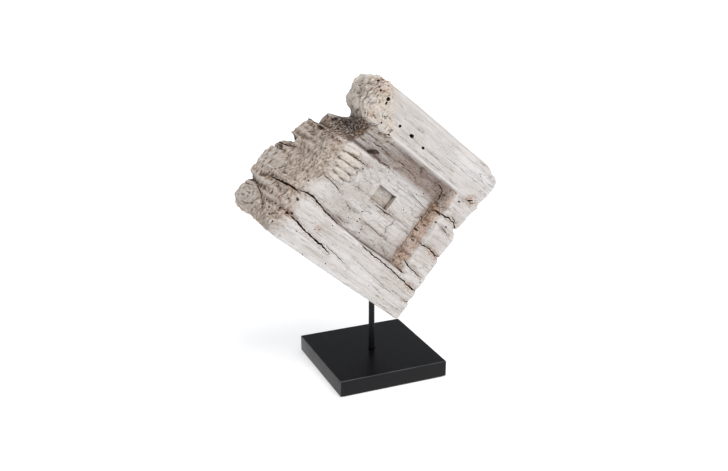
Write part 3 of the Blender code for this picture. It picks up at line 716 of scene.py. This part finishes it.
def fray(path, width, rng, step=3.0, sway=0.45):
    """A path made denser, with a small seeded sideways sway and a width at each point."""
    places = [np.array(place, float) for place in path]
    fine = [places[0]]
    for a, b in zip(places, places[1:]):
        count = max(1, round(float(np.linalg.norm(b - a)) / step))
        fine += [a + (b - a) * k / count for k in range(1, count + 1)]
    swayed = [place + rng.normal(0, sway * min(width, 2) / 2, 3) for place in fine]
    widths = width * rng.uniform(0.55, 1.35, len(fine))
    return swayed, widths


def wedge(name, path, out, width, depth, rng, lift=6):
    """A crack's cutter: a thin three-sided blade along the path, closing at its ends."""
    path, widths = fray(path, width, rng)
    shape = bmesh.new()
    count = len(path)
    bmesh.ops.create_cone(shape, cap_ends=True, segments=3, radius1=1, radius2=1,
                          depth=count - 1)
    long_edges = [e for e in shape.edges if abs(e.verts[0].co.z - e.verts[1].co.z) > 0.5]
    if count > 2:
        bmesh.ops.subdivide_edges(shape, edges=long_edges, cuts=count - 2)
    places = [Vector(place) for place in path]
    outward = Vector(out)
    ring_order = sorted({round(math.atan2(v.co.x, v.co.y), 3) for v in shape.verts})
    for vert in shape.verts:
        station = round(vert.co.z + (count - 1) / 2)
        corner = ring_order.index(round(math.atan2(vert.co.x, vert.co.y), 3))
        here = places[station]
        ahead = places[min(station + 1, count - 1)] - places[max(station - 1, 0)]
        side = ahead.cross(outward).normalized()
        from_end = min(station, count - 1 - station) / max(1, min(3, (count - 1) / 2))
        strength = 0.2 + 0.8 * min(1.0, from_end)
        half = widths[station] * strength / 2
        sink = depth * strength
        flare = half * (1 + lift / sink * 0.5)
        if corner == 0:
            vert.co = here - outward * sink
        else:
            vert.co = here + outward * lift + side * (flare if corner == 1 else -flare)
    return object_from(shape, name)


def lump(name, centre, radii, turn, seed, subdivisions, fretting):
    """A lumpy ball, turned across the front and crumbled in its skin, that cuts a hollow."""
    shape = bmesh.new()
    bmesh.ops.create_icosphere(shape, subdivisions=subdivisions, radius=1)
    for vert in shape.verts:
        place = Vector([r * c for r, c in zip(radii, vert.co)])
        grow = 1 + 0.16 * noise.noise(vert.co * 1.6 + Vector((seed, 0, 0)))
        coarse = noise.noise(Vector((place.x / 9, place.y / 4, place.z / 5)))
        fine = noise.noise(Vector((place.x / 5, place.y / 1.8, place.z / 2)))
        vert.co = place * grow + vert.co * fretting * (1.6 * coarse + fine)
    place = Matrix.Translation(centre) @ Matrix.Rotation(turn, 4, "Z")
    bmesh.ops.transform(shape, matrix=place, verts=shape.verts)
    return object_from(shape, name)


def worm_hole(name, u, v, wide, high, depth, rng):
    """A short tapered pit with an uneven rim."""
    shape = bmesh.new()
    bmesh.ops.create_cone(shape, cap_ends=True, segments=12, radius1=0.28, radius2=0.5, depth=1)
    reach = depth + WORM_HOLE_RUN_OUT
    middle = front_surface(u, v) + WORM_HOLE_RUN_OUT - reach / 2
    for vert in shape.verts:
        uneven = rng.uniform(0.8, 1.2)
        vert.co = Vector((u + vert.co.x * wide * uneven, v + vert.co.y * high * uneven,
                          middle + vert.co.z * reach))
    return object_from(shape, name)


def pit(name, wood, place, radius, rng):
    """A small rotted-out hole, sunk where the wood's surface is nearest to the place."""
    _, surface, normal, _ = wood.closest_point_on_mesh(Vector(place))
    shape = bmesh.new()
    bmesh.ops.create_icosphere(shape, subdivisions=2, radius=radius)
    for vert in shape.verts:
        vert.co = surface - normal * radius * PIT_SINK + vert.co * rng.uniform(0.85, 1.2)
    return object_from(shape, name)


def mortise():
    """The square mortise in the sunk panel, a little narrower at its bottom."""
    (u_low, u_high), (v_low, v_high), depth = MORTISE
    floor = W_FACES[1] - PANEL_DEPTH - depth
    shape = bmesh.new()
    bmesh.ops.create_cube(shape, size=1.0)
    for vert in shape.verts:
        taper = MORTISE_TAPER if vert.co.z < 0 else -MORTISE_TAPER
        u = (u_low + taper) if vert.co.x < 0 else (u_high - taper)
        v = (v_low + taper) if vert.co.y < 0 else (v_high - taper)
        vert.co = Vector((u, v, floor if vert.co.z < 0 else floor + 2 * depth))
    bmesh.ops.subdivide_edges(shape, edges=shape.edges, cuts=9, use_grid_fill=True)
    for vert in shape.verts:
        vert.co += Vector([0.5 * noise.noise(vert.co / 4 + Vector((0, 0, k))) for k in range(3)])
    return object_from(shape, "mortise_cut")


def rod_bore():
    """The plain hole that the rod stands in, in the wood's own frame."""
    radius = (ROD_HIGH.x - ROD_LOW.x) / 2 + FIT_GAP
    entry = (WOOD_CENTRE_HEIGHT + V_SIDES[0] / math.cos(GRAIN_TILT)) * MM
    top = ROD_HIGH.z + FIT_GAP
    bottom = entry - BORE_RUN_OUT * MM
    shape = bmesh.new()
    bmesh.ops.create_cone(shape, cap_ends=True, segments=48, depth=top - bottom,
                          radius1=radius, radius2=radius,
                          matrix=Matrix.Translation((0, 0, (top + bottom) / 2)))
    bmesh.ops.transform(shape, matrix=wood_matrix().inverted(), verts=shape.verts)
    return object_from(shape, "rod_bore_cut")


def vertex_vectors(mesh, kind):
    """The places (co) or normals of a mesh's vertices, one row each."""
    values = np.zeros(len(mesh.vertices) * 3)
    mesh.vertices.foreach_get(kind, values)
    return values.reshape(-1, 3)


def cavity(mesh, rounds):
    """How far each vertex lies below the average of its neighbours, along its normal."""
    count = len(mesh.vertices)
    places = vertex_vectors(mesh, "co")
    edges = np.zeros(len(mesh.edges) * 2, dtype=int)
    mesh.edges.foreach_get("vertices", edges)
    a, b = edges.reshape(-1, 2).T
    links = np.bincount(a, minlength=count) + np.bincount(b, minlength=count)
    averaged = places.copy()
    for _ in range(rounds):
        sums = [np.bincount(a, averaged[b, k], count) + np.bincount(b, averaged[a, k], count)
                for k in range(3)]
        averaged = np.stack(sums, axis=1) / np.maximum(links, 1)[:, None]
    return ((averaged - places) * vertex_vectors(mesh, "normal")).sum(axis=1)


def write_masks(mesh):
    """Stores where the wood is rotted, ochre, stained and hollow, its cove grime, and its painted
    shade and highlight, for its material.
    """
    points = vertex_vectors(mesh, "co")
    facing = vertex_vectors(mesh, "normal")
    u, v, w = points.T
    front = ease(-0.1, 0.3, facing[:, 2]) * ease(0, 20, w)
    # The cove under the ridge, for grime and painted shade, weaker to the left
    stray_v = v + 3 * wander(points, (30, 6, 6), 23)
    cove = ease(COVE_FOOT - 3, COVE_FOOT + 6, v) * (1 - ease(COVE_TOP - 4, COVE_TOP + 2, stray_v))
    cove *= band(-104, -70, 60, 67, u) * (0.25 + 0.75 * ease(-60, 0, u))
    stray_u = u + 2.5 * wander(points, (6, 8, 6), 24)
    wall = ease(WALL_FOOT - 6, WALL_FOOT - 2, u)
    wall *= 1 - ease(WALL_TOP - 1.5, WALL_TOP + 0.5, stray_u)
    wall *= band(-60, -56, COVE_TOP - 3, COVE_TOP, v)
    # The wall's low corner and its foot: brown stain with painted shade where the wall meets the
    # panel
    corner = band(WALL_FOOT - 12, WALL_FOOT - 2, WALL_TOP, WALL_TOP + 4, u)
    corner *= band(-60, -57, -55, -46, v)
    foot = np.exp(-((u - (WALL_FOOT - 4)) / 4.5) ** 2) * band(-58, -50, 50, 60, v)
    foot *= (0.25 + 0.45 * ease(-10, 15, v)) * (1 + 0.8 * wander(points, (5, 5, 5), 27))
    # The rotted hollow under the ridge's end; its browns are rot dust and painted shade
    across = (points - np.array(HOLLOW_CENTRE)) @ np.array(Matrix.Rotation(HOLLOW_TURN, 3, "Z"))
    hollow = 1 - ease(1.25, 1.5, np.sqrt(((across / np.array(HOLLOW_RADII)) ** 2).sum(axis=1)))
    # The pocket and the scoops: brown rot with painted shade in their hollows
    pocket = np.minimum(1.3 * blob(points, POCKET_CENTRE, (10, 5.5, 12)), 1)
    for centre, radii, _ in SCOOPS:
        pocket = np.maximum(pocket, blob(points, centre, np.array(radii) * 1.1))
    (u_low, u_high), (v_low, v_high), _ = MORTISE
    in_mortise = (u > u_low - 2) & (u < u_high + 2) & (v > v_low - 1) & (v < v_high + 2)
    in_mortise &= w < W_FACES[1] - PANEL_DEPTH - 1
    mortise_stain = in_mortise * (0.16 + 0.3 * (facing[:, 0] < -0.5))
    # Share of the painted shade and highlight that each place gets: little on the lit wall above
    # the beam, less in the mortise and on the panel's right wall
    painted_shading_share = 1 - 0.9 * np.exp(-((v - beam_edge(u) + 0.8) / 4.5) ** 2) * ease(10, 25, w)
    painted_shading_share *= (1 - 0.6 * in_mortise) * (1 - 0.5 * wall)
    reach, height = flake_place(points)
    flake_rim = np.exp(-((reach - 1.02) / 0.13) ** 2) * front
    checked = 0.5 * front * ease(4, 12, front_depth(u, v)) * (1 - cove)
    checked += ease(-88, -102, u) * ease(-76, -84, v) * ease(-10, 20, w)
    rust = np.zeros(len(points))
    for *centre, radius in RUST_SPOTS:
        rust = np.maximum(rust, blob(points, centre, (radius,) * 3))
    masks = {
        "sawn": ease(0.6, 0.85, facing[:, 0]) * ease(90, 100, u),
        "rot": rotted(points) * (1 - 0.4 * calm(points)) * (facing[:, 2] > -0.5),
        "cove_grime_and_shade": front * cove,
        "wall": front * wall,
        # painted shade, darker further into the rotted hollow
        "deep_hollow_shade": hollow * ease(-99, -84, u),
        # brown stain, with painted shade in the pocket, the scoops and the wall's corner and foot
        "umber_stain_and_shade": np.maximum.reduce([pocket, 0.1 * front * corner, front * foot,
                                    mortise_stain]),
        "hollow": hollow,
        "ochre": knobbly(points) + 0.9 * ease(0.2, 1.2, height) * front + 0.55 * in_mortise,
        "stain": np.maximum.reduce([crack_nearness(points, facing, 3.0), flake_rim,
                                    0.8 * end_lines(points, facing) * rotted(points)]),
        "checked": checked,
        "rust": rust,
        # Below 0.5 where a place stands above its neighbours (painted highlight), above 0.5 where
        # it lies below them (painted shade), over a narrow and a wide reach
        "cavity": 0.5 + painted_shading_share * cavity(mesh, 3) / 2.0,
        "hollow_wide": 0.5 + painted_shading_share * cavity(mesh, 14) / 6.0,
    }
    for name, values in masks.items():
        layer = mesh.attributes.new(name, "FLOAT", "POINT")
        layer.data.foreach_set("value", np.clip(values, 0, 1).astype(np.float32))


def driftwood_patterns(tree):
    """The masks, grain, checks, rings and pits that the wood's colour and relief are made of."""
    place = add_node(tree, "TexCoord")
    block = add_node(tree, "Mapping", None, {      # millimetres along u, depth and v
        "Vector": place.outputs["Object"], "Rotation": (0, -GRAIN_TILT, 0),
        "Scale": (1 / MM, 1 / MM, 1 / MM)}).outputs["Vector"]
    grain = add_node(tree, "Mapping", None, {      # drawn out 22 times along the grain
        "Vector": block, "Scale": (1 / 22, 1, 1)}).outputs["Vector"]
    fibres = add_node(tree, "Mapping", None, {     # rot fibres run three times as far along v
        "Vector": block, "Scale": (1, 1, 1 / 3)}).outputs["Vector"]
    bend = add_node(tree, "TexNoise", None, {"Vector": block, "Scale": 1 / 12, "Detail": 2})
    bent = add_node(tree, "VectorMath", {"operation": "MULTIPLY_ADD"}, {
        0: bend.outputs["Color"], 1: (9, 9, 9), 2: block})
    check_cells = add_node(tree, "Mapping", None, {  # checks run twice as far along the grain
        "Vector": bent.outputs["Vector"], "Scale": (1 / 2, 1, 1)})

    rings_place = add_node(tree, "Mapping", None, {  # growth rings round a pith below the block
        "Vector": bent.outputs["Vector"], "Location": (0, 70, 150), "Scale": (0, 1, 1)})
    ring_radius = add_node(tree, "VectorMath", {"operation": "LENGTH"}, {
        0: rings_place.outputs["Vector"]})

    values = {}
    for name in ("sawn", "deep_hollow_shade", "rot", "cove_grime_and_shade", "wall", "umber_stain_and_shade", "hollow", "ochre", "stain",
                 "checked", "rust", "cavity", "hollow_wide"):
        values[name] = add_node(tree, "Attribute", {"attribute_name": name}).outputs["Fac"]
    for name, vector, size, detail in (          # noise grain sizes in millimetres
            ("broad", block, 45, 2), ("patch", block, 14, 4), ("blotch", block, 5, 3),
            ("crumb", block, 2.6, 4), ("fine", block, 1.1, 3), ("streak", grain, 1.3, 4),
            ("broad_streak", grain, 5.5, 3), ("long_patch", grain, 11, 4),
            ("contour", grain, 9, 3), ("fibre", fibres, 1.7, 3)):
        values[name] = add_node(tree, "TexNoise", None, {
            "Vector": vector, "Scale": 1 / size, "Detail": detail,
            "Roughness": 0.6, "Distortion": 1.2 * (name == "fibre")}).outputs["Fac"]
    values["check_net"] = add_node(tree, "TexVoronoi", {"feature": "DISTANCE_TO_EDGE"}, {
        "Vector": check_cells.outputs["Vector"], "Scale": 1 / 8}).outputs["Distance"]
    values["spot_cells"] = add_node(tree, "TexVoronoi", None, {
        "Vector": block, "Scale": 1 / 9}).outputs["Distance"]
    values["pin_cells"] = add_node(tree, "TexVoronoi", None, {
        "Vector": block, "Scale": 1 / 4.5}).outputs["Distance"]
    values["ring_share"] = add_node(tree, "Math", {"operation": "PINGPONG"}, {
        0: ring_radius.outputs["Value"], 1: 2.1}).outputs["Value"]
    values["line"] = add_node(tree, "Math", {"operation": "PINGPONG"}, {
        0: values["contour"], 1: 0.1}).outputs["Value"]
    for name, source, low, high in (             # each value eased from 0 at low to 1 at high
            ("broad_pale", "broad", 0.42, 0.62), ("long_light", "long_patch", 0.46, 0.66),
            ("patch_any", "patch", 0.3, 0.55), ("blotch_any", "blotch", 0.42, 0.62),
            ("grain_dark", "streak", 0.52, 0.72), ("grain_wide", "broad_streak", 0.5, 0.7),
            ("crumb_dark", "crumb", 0.5, 0.66), ("crumb_any", "crumb", 0.36, 0.6),
            ("crumb_light", "crumb", 0.47, 0.36), ("crumb_pits", "crumb", 0.5, 0.57),
            ("speck", "spot_cells", 0.1, 0.05),
            ("fibre_dark", "fibre", 0.5, 0.64), ("fibre_light", "fibre", 0.46, 0.32),
            # painted shade in creases and wide hollows, and painted highlight on ridges, from the
            # cavity measures
            ("crease_shade", "cavity", 0.56, 0.82), ("hollow_shade", "hollow_wide", 0.56, 0.8),
            ("ridge_highlight", "cavity", 0.46, 0.3), ("checks", "check_net", 0.045, 0.012),
            ("hairline", "line", 0.006, 0.001), ("pin", "pin_cells", 0.17, 0.09),
            ("rings", "ring_share", 1.2, 2.0)):
        values[name] = add_node(tree, "MapRange", {"interpolation_type": "SMOOTHSTEP"}, {
            "Value": values[source], "From Min": low, "From Max": high}).outputs["Result"]
    return values


def bleached_driftwood():
    """Bleached softwood: limewashed and sun-greyed, dry and matt, dirty where it is rotted.

    Dry open grain scatters all light, so it has no gloss; painted shade darkens its creases and
    hollows, and painted highlight lightens its ridges.
    """
    finish, tree, shader = new_material("bleached_driftwood")
    values = driftwood_patterns(tree)
    colour = linear("#C9C4C0")
    for tint, amount, *factors in (
            ("#BBB4AF", 0.7, "broad_pale"), ("#DAD9DA", 0.6, "long_light"),
            ("#998D84", 0.5, "grain_dark"), ("#B6ACA4", 0.4, "grain_wide"),
            ("#968A80", 0.5, "sawn", "rings"),
            ("#CFC2B2", 0.75, "ochre", "patch_any"), ("#A98F75", 0.6, "ochre", "crumb_dark"),
            ("#B9A999", 0.9, "rot"), ("#988674", 0.55, "rot", "blotch_any"),
            ("#665445", 0.65, "rot", "fibre_dark"), ("#D2C6BB", 0.6, "rot", "fibre_light"),
            ("#5A483B", 0.4, "rot", "crumb_dark"), ("#44352A", 0.75, "rot", "pin"),
            ("#57432F", 0.6, "ochre", "pin"),
            ("#CDB5A4", 0.9, "wall", "patch_any"), ("#7C6253", 0.55, "wall", "crumb_dark"),
            # Grime and painted shade in the cove under the ridge
            ("#9B887F", 0.75, "cove_grime_and_shade"), ("#64524B", 0.9, "cove_grime_and_shade", "grain_dark"),
            ("#6E5B54", 0.5, "cove_grime_and_shade", "grain_wide"),
            # Umber: stain, with painted shade in the pocket, the scoops and the wall's corner and
            # foot
            ("#5A4942", 0.5, "cove_grime_and_shade", "crumb_dark"), ("#7D6754", 0.9, "umber_stain_and_shade"),
            # The hollow: rot dust and painted shade, darkest far inside, with dark and pale crumbs
            ("#927C6B", 0.9, "hollow"), ("#3A2B21", 0.75, "deep_hollow_shade"),
            ("#2C2019", 0.9, "hollow", "crumb_pits"), ("#BDAC9C", 0.8, "hollow", "crumb_light"),
            ("#8C7563", 0.75, "stain", "crumb_any"),
            ("#A8764E", 0.8, "rust", "crumb_any"), ("#5E4636", 0.7, "rust", "crumb_dark"),
            ("#65554A", 0.45, "checked", "checks"),
            # The last three cavity tints: painted shade in creases and wide hollows, and painted
            # highlight on ridges
            ("#5E4D41", 0.75, "hairline", "blotch_any"), ("#4E3F36", 0.75, "crease_shade"),
            ("#75655A", 0.38, "hollow_shade"), ("#E2DFDD", 0.3, "ridge_highlight"),
            ("#5A4A40", 0.8, "speck", "patch_any")):
        share = amount
        for factor in factors:
            share = add_node(tree, "Math", {"operation": "MULTIPLY"}, {
                0: values[factor], 1: share}).outputs["Value"]
        colour = add_node(tree, "Mix", {"data_type": "RGBA"}, {
            "Factor": share, "A": colour, "B": linear(tint)}).outputs["Result"]
    tree.links.new(colour, shader.inputs["Base Color"])
    shader.inputs["Roughness"].default_value = 0.86
    shader.inputs["Specular IOR Level"].default_value = 0.25

    relief = 0.0
    for name, weight in (("streak", 0.5), ("crumb", 0.9), ("fine", 0.35), ("hairline", -0.8),
                         ("checks", -0.25)):
        relief = add_node(tree, "Math", {"operation": "MULTIPLY_ADD"}, {
            0: values[name], 1: weight, 2: relief}).outputs["Value"]
    bump = add_node(tree, "Bump", None, {
        "Height": relief, "Strength": 0.9, "Distance": 1.2 * MM})
    tree.links.new(bump.outputs["Normal"], shader.inputs["Normal"])
    return finish


def crack_heartwood():
    """The unbleached wood inside the cracks and holes: dark, dusty brown and matt."""
    finish, tree, shader = new_material("crack_heartwood")
    mottled(tree, shader, 2.5, 3, "#3A2A20", "#6B5342")
    shader.inputs["Roughness"].default_value = 0.95
    shader.inputs["Specular IOR Level"].default_value = 0.1
    return finish


def heartwood_cutters(wood):
    """The cracks, worm holes and pits, whose sides show the unbleached heartwood."""
    rng = np.random.default_rng(CRACK_SEED)
    cutters = []
    for name, (line, width, depth) in FRONT_CRACKS.items():
        path = [(u, v, front_surface(u, v)) for u, v in line]
        cutters.append(wedge(f"crack_{name}", path, (0, 0, 1), width, depth, rng))
    for name, (line, width, depth) in END_CRACKS.items():
        path = [(float(left_end(np.array(v), np.array(w))), v, w) for w, v in line]
        cutters.append(wedge(f"rift_{name}", path, (-1, 0, 0), width, depth, rng, 10))
    for name, (line, width, depth) in BACK_CRACKS.items():
        path = [(u, v, W_FACES[0]) for u, v in line]
        cutters.append(wedge(f"split_{name}", path, (0, 0, -1), width, depth, rng))
    for i, spec in enumerate(WORM_HOLES):
        cutters.append(worm_hole(f"worm_{i}", *spec, rng))
    for i, (*place, radius) in enumerate(PITS):
        cutters.append(pit(f"pit_{i}", wood, place, radius, rng))
    for i in range(BACK_PITS):
        place = (rng.uniform(*BACK_PIT_U), rng.uniform(*BACK_PIT_V), W_FACES[0])
        cutters.append(pit(f"back_pit_{i}", wood, place, rng.uniform(*BACK_PIT_RADIUS), rng))
    return cutters


def bleached_cutters():
    """The hollows, the mortise and the bore, whose sides are bleached like the outside."""
    cutters = [lump("hollow_cut", HOLLOW_CENTRE, HOLLOW_RADII, HOLLOW_TURN, 3.1, 6, 2.2),
               lump("pocket_cut", POCKET_CENTRE, POCKET_RADII, POCKET_TURN, 7.7, 4, 0.4),
               mortise(), rod_bore()]
    for i, (centre, radii, turn) in enumerate(SCOOPS):
        cutters.append(lump(f"scoop_{i}", centre, radii, math.radians(turn), i, 4, 0.5))
    return cutters


def driftwood():
    """The weathered block: shaped, worn, cut and given its masks."""
    shape = block_grid()
    points = shape_block(np.array([vert.co for vert in shape.verts]))
    for vert, place in zip(shape.verts, points):
        vert.co = place
    weather(shape)
    wood = object_from(shape, "weathered_block")
    wood.data.materials.append(bleached_driftwood())
    wood.data.materials.append(crack_heartwood())
    dark = heartwood_cutters(wood)
    pale = bleached_cutters()
    for cutter in dark + pale:
        for finish in wood.data.materials:
            cutter.data.materials.append(finish)
    for cutter in dark:
        cutter.data.polygons.foreach_set("material_index", [1] * len(cutter.data.polygons))
    cut_from(wood, dark + pale)
    write_masks(wood.data)
    wood.data.transform(wood_matrix())
    smooth(wood, WOOD_SHARP_FROM)
    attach(wood, "root")
    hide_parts("driftwood")


def turned(name, outline, segments=64):
    """A solid turned round the Z axis from (radius, height) points, from axis to axis."""
    shape = bmesh.new()
    verts = [shape.verts.new((radius, 0, height)) for radius, height in outline]
    edges = [shape.edges.new(pair) for pair in zip(verts, verts[1:])]
    bmesh.ops.spin(shape, geom=verts + edges, cent=(0, 0, 0), axis=(0, 0, 1),
                   angle=math.tau, steps=segments, use_merge=True)
    bmesh.ops.remove_doubles(shape, verts=shape.verts, dist=0.00001)
    return object_from(shape, name)


def stand_in_for(piece, node, finish):
    """Gives a piece its finish and sets it in the place of a CAD node."""
    piece.data.materials.clear()
    piece.data.materials.append(finish)
    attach(piece, "root")
    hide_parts(node)


def black_powder_coat():
    """Satin powder coat on steel rod: a very fine orange-peel skin with a soft sheen."""
    finish, tree, shader = new_material("black_powder_coat")
    peel = mottled(tree, shader, 0.6, 2, "#060609", "#0B0B0F")
    rough = add_node(tree, "MapRange", None, {"Value": peel, "To Min": 0.34, "To Max": 0.46})
    tree.links.new(rough.outputs["Result"], shader.inputs["Roughness"])
    shader.inputs["Specular IOR Level"].default_value = 0.25
    bump = add_node(tree, "Bump", None, {
        "Height": peel, "Strength": 0.25, "Distance": 0.05 * MM})
    tree.links.new(bump.outputs["Normal"], shader.inputs["Normal"])
    return finish


def black_lacquer():
    """Sprayed satin lacquer on hardwood: even black, finely scratched, with a painted highlight
    along its edges.
    """
    finish, tree, shader = new_material("black_satin_lacquer")
    place = add_node(tree, "TexCoord")
    haze = add_node(tree, "TexNoise", None, {
        "Vector": place.outputs["Object"], "Scale": 1 / (22 * MM), "Detail": 4})
    pores = add_node(tree, "TexNoise", None, {
        "Vector": place.outputs["Object"], "Scale": 1 / (0.8 * MM), "Detail": 2})
    turn = add_node(tree, "Mapping", None, {
        "Vector": place.outputs["Object"], "Rotation": (0, 0, 0.5), "Scale": (1, 0.03, 1)})
    scuffs = add_node(tree, "TexNoise", None, {
        "Vector": turn.outputs["Vector"], "Scale": 1 / (1.4 * MM), "Detail": 2})
    scuff = add_node(tree, "MapRange", {"interpolation_type": "SMOOTHSTEP"}, {
        "Value": scuffs.outputs["Fac"], "From Min": 0.72, "From Max": 0.8})
    tone = add_node(tree, "Mix", {"data_type": "RGBA"}, {
        "Factor": haze.outputs["Fac"], "A": linear("#040407"), "B": linear("#08080C")})
    tone = add_node(tree, "Mix", {"data_type": "RGBA"}, {
        "Factor": scuff.outputs["Result"], "A": tone.outputs["Result"], "B": linear("#303134")})
    # Painted highlight: the eased edges are lightened grey, as if they caught the light
    edge_highlight = add_node(tree, "Attribute", {"attribute_name": "edge_highlight"})
    edge_highlight_share = add_node(tree, "Math", {"operation": "MULTIPLY"}, {
        0: edge_highlight.outputs["Fac"], 1: haze.outputs["Fac"]})
    tone = add_node(tree, "Mix", {"data_type": "RGBA"}, {
        "Factor": edge_highlight_share.outputs["Value"], "A": tone.outputs["Result"], "B": linear("#77787D")})
    tree.links.new(tone.outputs["Result"], shader.inputs["Base Color"])
    rough = add_node(tree, "MapRange", None, {
        "Value": haze.outputs["Fac"], "To Min": 0.26, "To Max": 0.38})
    tree.links.new(rough.outputs["Result"], shader.inputs["Roughness"])
    shader.inputs["Specular IOR Level"].default_value = 0.22
    bump = add_node(tree, "Bump", None, {
        "Height": pores.outputs["Fac"], "Strength": 0.2, "Distance": 0.06 * MM})
    tree.links.new(bump.outputs["Normal"], shader.inputs["Normal"])
    return finish


def zinc_steel():
    """Zinc-plated screw steel: grey, faintly mottled."""
    finish, tree, shader = new_material("zinc_plated_steel")
    spangle = mottled(tree, shader, 1.2, 3, "#9C9DA0", "#B9BABC")
    shader.inputs["Metallic"].default_value = 1.0
    rough = add_node(tree, "MapRange", None, {"Value": spangle, "To Min": 0.28, "To Max": 0.45})
    tree.links.new(rough.outputs["Result"], shader.inputs["Roughness"])
    return finish


def black_felt():
    """Needled wool felt: matt black fibres with a soft sheen at the edge."""
    finish, tree, shader = new_material("black_wool_felt")
    fibre = mottled(tree, shader, 0.7, 5, "#0E0E0F", "#2A2A2C", 1.5)
    shader.inputs["Roughness"].default_value = 0.95
    shader.inputs["Sheen Weight"].default_value = 0.25
    bump = add_node(tree, "Bump", None, {
        "Height": fibre, "Strength": 0.7, "Distance": 0.25 * MM})
    tree.links.new(bump.outputs["Normal"], shader.inputs["Normal"])
    return finish


def stand_rod():
    """The rod, with its tapped hole's plain bore in the foot."""
    radius = (ROD_HIGH.x - ROD_LOW.x) / 2
    chamfer = 0.6 * MM
    hole = SCREW_SHANK_RADIUS + FIT_GAP
    hole_top = SCREW_HIGH.z + FIT_GAP
    rod = turned("rod_upright", (
        (0, hole_top), (hole, hole_top), (hole, ROD_LOW.z), (radius, ROD_LOW.z),
        (radius, ROD_HIGH.z - chamfer), (radius - chamfer, ROD_HIGH.z), (0, ROD_HIGH.z)))
    smooth(rod, TURNED_SHARP_FROM)
    stand_in_for(rod, "stand_rod", black_powder_coat())


def stand_base():
    """The square block, with eased edges, the rod's countersunk socket and the screw's hole."""
    socket_floor = BASE_HIGH.z - ROD_SOCKET_DEPTH
    socket = (ROD_HIGH.x - ROD_LOW.x) / 2 + FIT_GAP
    shank = SCREW_SHANK_RADIUS + FIT_GAP
    head = (SCREW_HIGH.x - SCREW_LOW.x) / 2 + FIT_GAP
    head_top = SCREW_LOW.z + SCREW_HEAD_HEIGHT + FIT_GAP
    below = BASE_LOW.z - CUTTER_PAST_BASE
    above = BASE_HIGH.z + CUTTER_PAST_BASE
    bore = turned("base_bore_cut", (
        (0, below), (head, below), (head, head_top), (shank, head_top),
        (shank, socket_floor), (socket, socket_floor), (socket, BASE_HIGH.z - RIM_DEPTH),
        (RIM_RADIUS, BASE_HIGH.z), (RIM_RADIUS, above), (0, above)))
    shape = bmesh.new()
    bmesh.ops.create_cube(shape, size=1.0)
    for vert in shape.verts:
        vert.co = Vector([high if side > 0 else low
                          for side, low, high in zip(vert.co, BASE_LOW, BASE_HIGH)])
    bmesh.ops.bevel(shape, geom=shape.edges[:], offset=BASE_EDGE_EASE, segments=5,
                    profile=0.5, affect="EDGES", material=-1)
    base = object_from(shape, "base_block")
    cut_from(base, [bore], "EXACT")
    smooth(base, TURNED_SHARP_FROM)
    # Painted highlight: 1 along the middle of each eased edge and 0 on the flat faces, for the
    # lacquer's grey edge lines
    places = vertex_vectors(base.data, "co")
    inset = np.minimum(places - np.array(BASE_LOW), np.array(BASE_HIGH) - places).min(axis=1)
    edge_highlight = np.where(inset < BASE_EDGE_EASE / 2, inset / EDGE_HIGHLIGHT_INSET, 0)
    layer = base.data.attributes.new("edge_highlight", "FLOAT", "POINT")
    layer.data.foreach_set("value", np.clip(edge_highlight, 0, 1).astype(np.float32))
    stand_in_for(base, "stand_base", black_lacquer())


def base_screw():
    """The socket-head screw under the base."""
    shank = SCREW_SHANK_RADIUS
    head = (SCREW_HIGH.x - SCREW_LOW.x) / 2
    head_top = SCREW_LOW.z + SCREW_HEAD_HEIGHT
    chamfer = 0.5 * MM
    screw = turned("socket_screw", (
        (0, SCREW_LOW.z), (head - chamfer, SCREW_LOW.z), (head, SCREW_LOW.z + chamfer),
        (head, head_top), (shank, head_top), (shank, SCREW_HIGH.z - chamfer),
        (shank - chamfer, SCREW_HIGH.z), (0, SCREW_HIGH.z)), 48)
    shape = bmesh.new()
    bmesh.ops.create_cone(shape, cap_ends=True, segments=6, radius1=HEX_SOCKET_RADIUS,
                          radius2=HEX_SOCKET_RADIUS, depth=2 * HEX_SOCKET_DEPTH,
                          matrix=Matrix.Translation((0, 0, SCREW_LOW.z)))
    cut_from(screw, [object_from(shape, "hex_cut")], "EXACT")
    smooth(screw, TURNED_SHARP_FROM)
    stand_in_for(screw, "base_screw", zinc_steel())


set_camera()
set_stage()
driftwood()
stand_rod()
stand_base()
base_screw()
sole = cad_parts["felt_sole"]
sole.data.materials.clear()
sole.data.materials.append(black_felt())
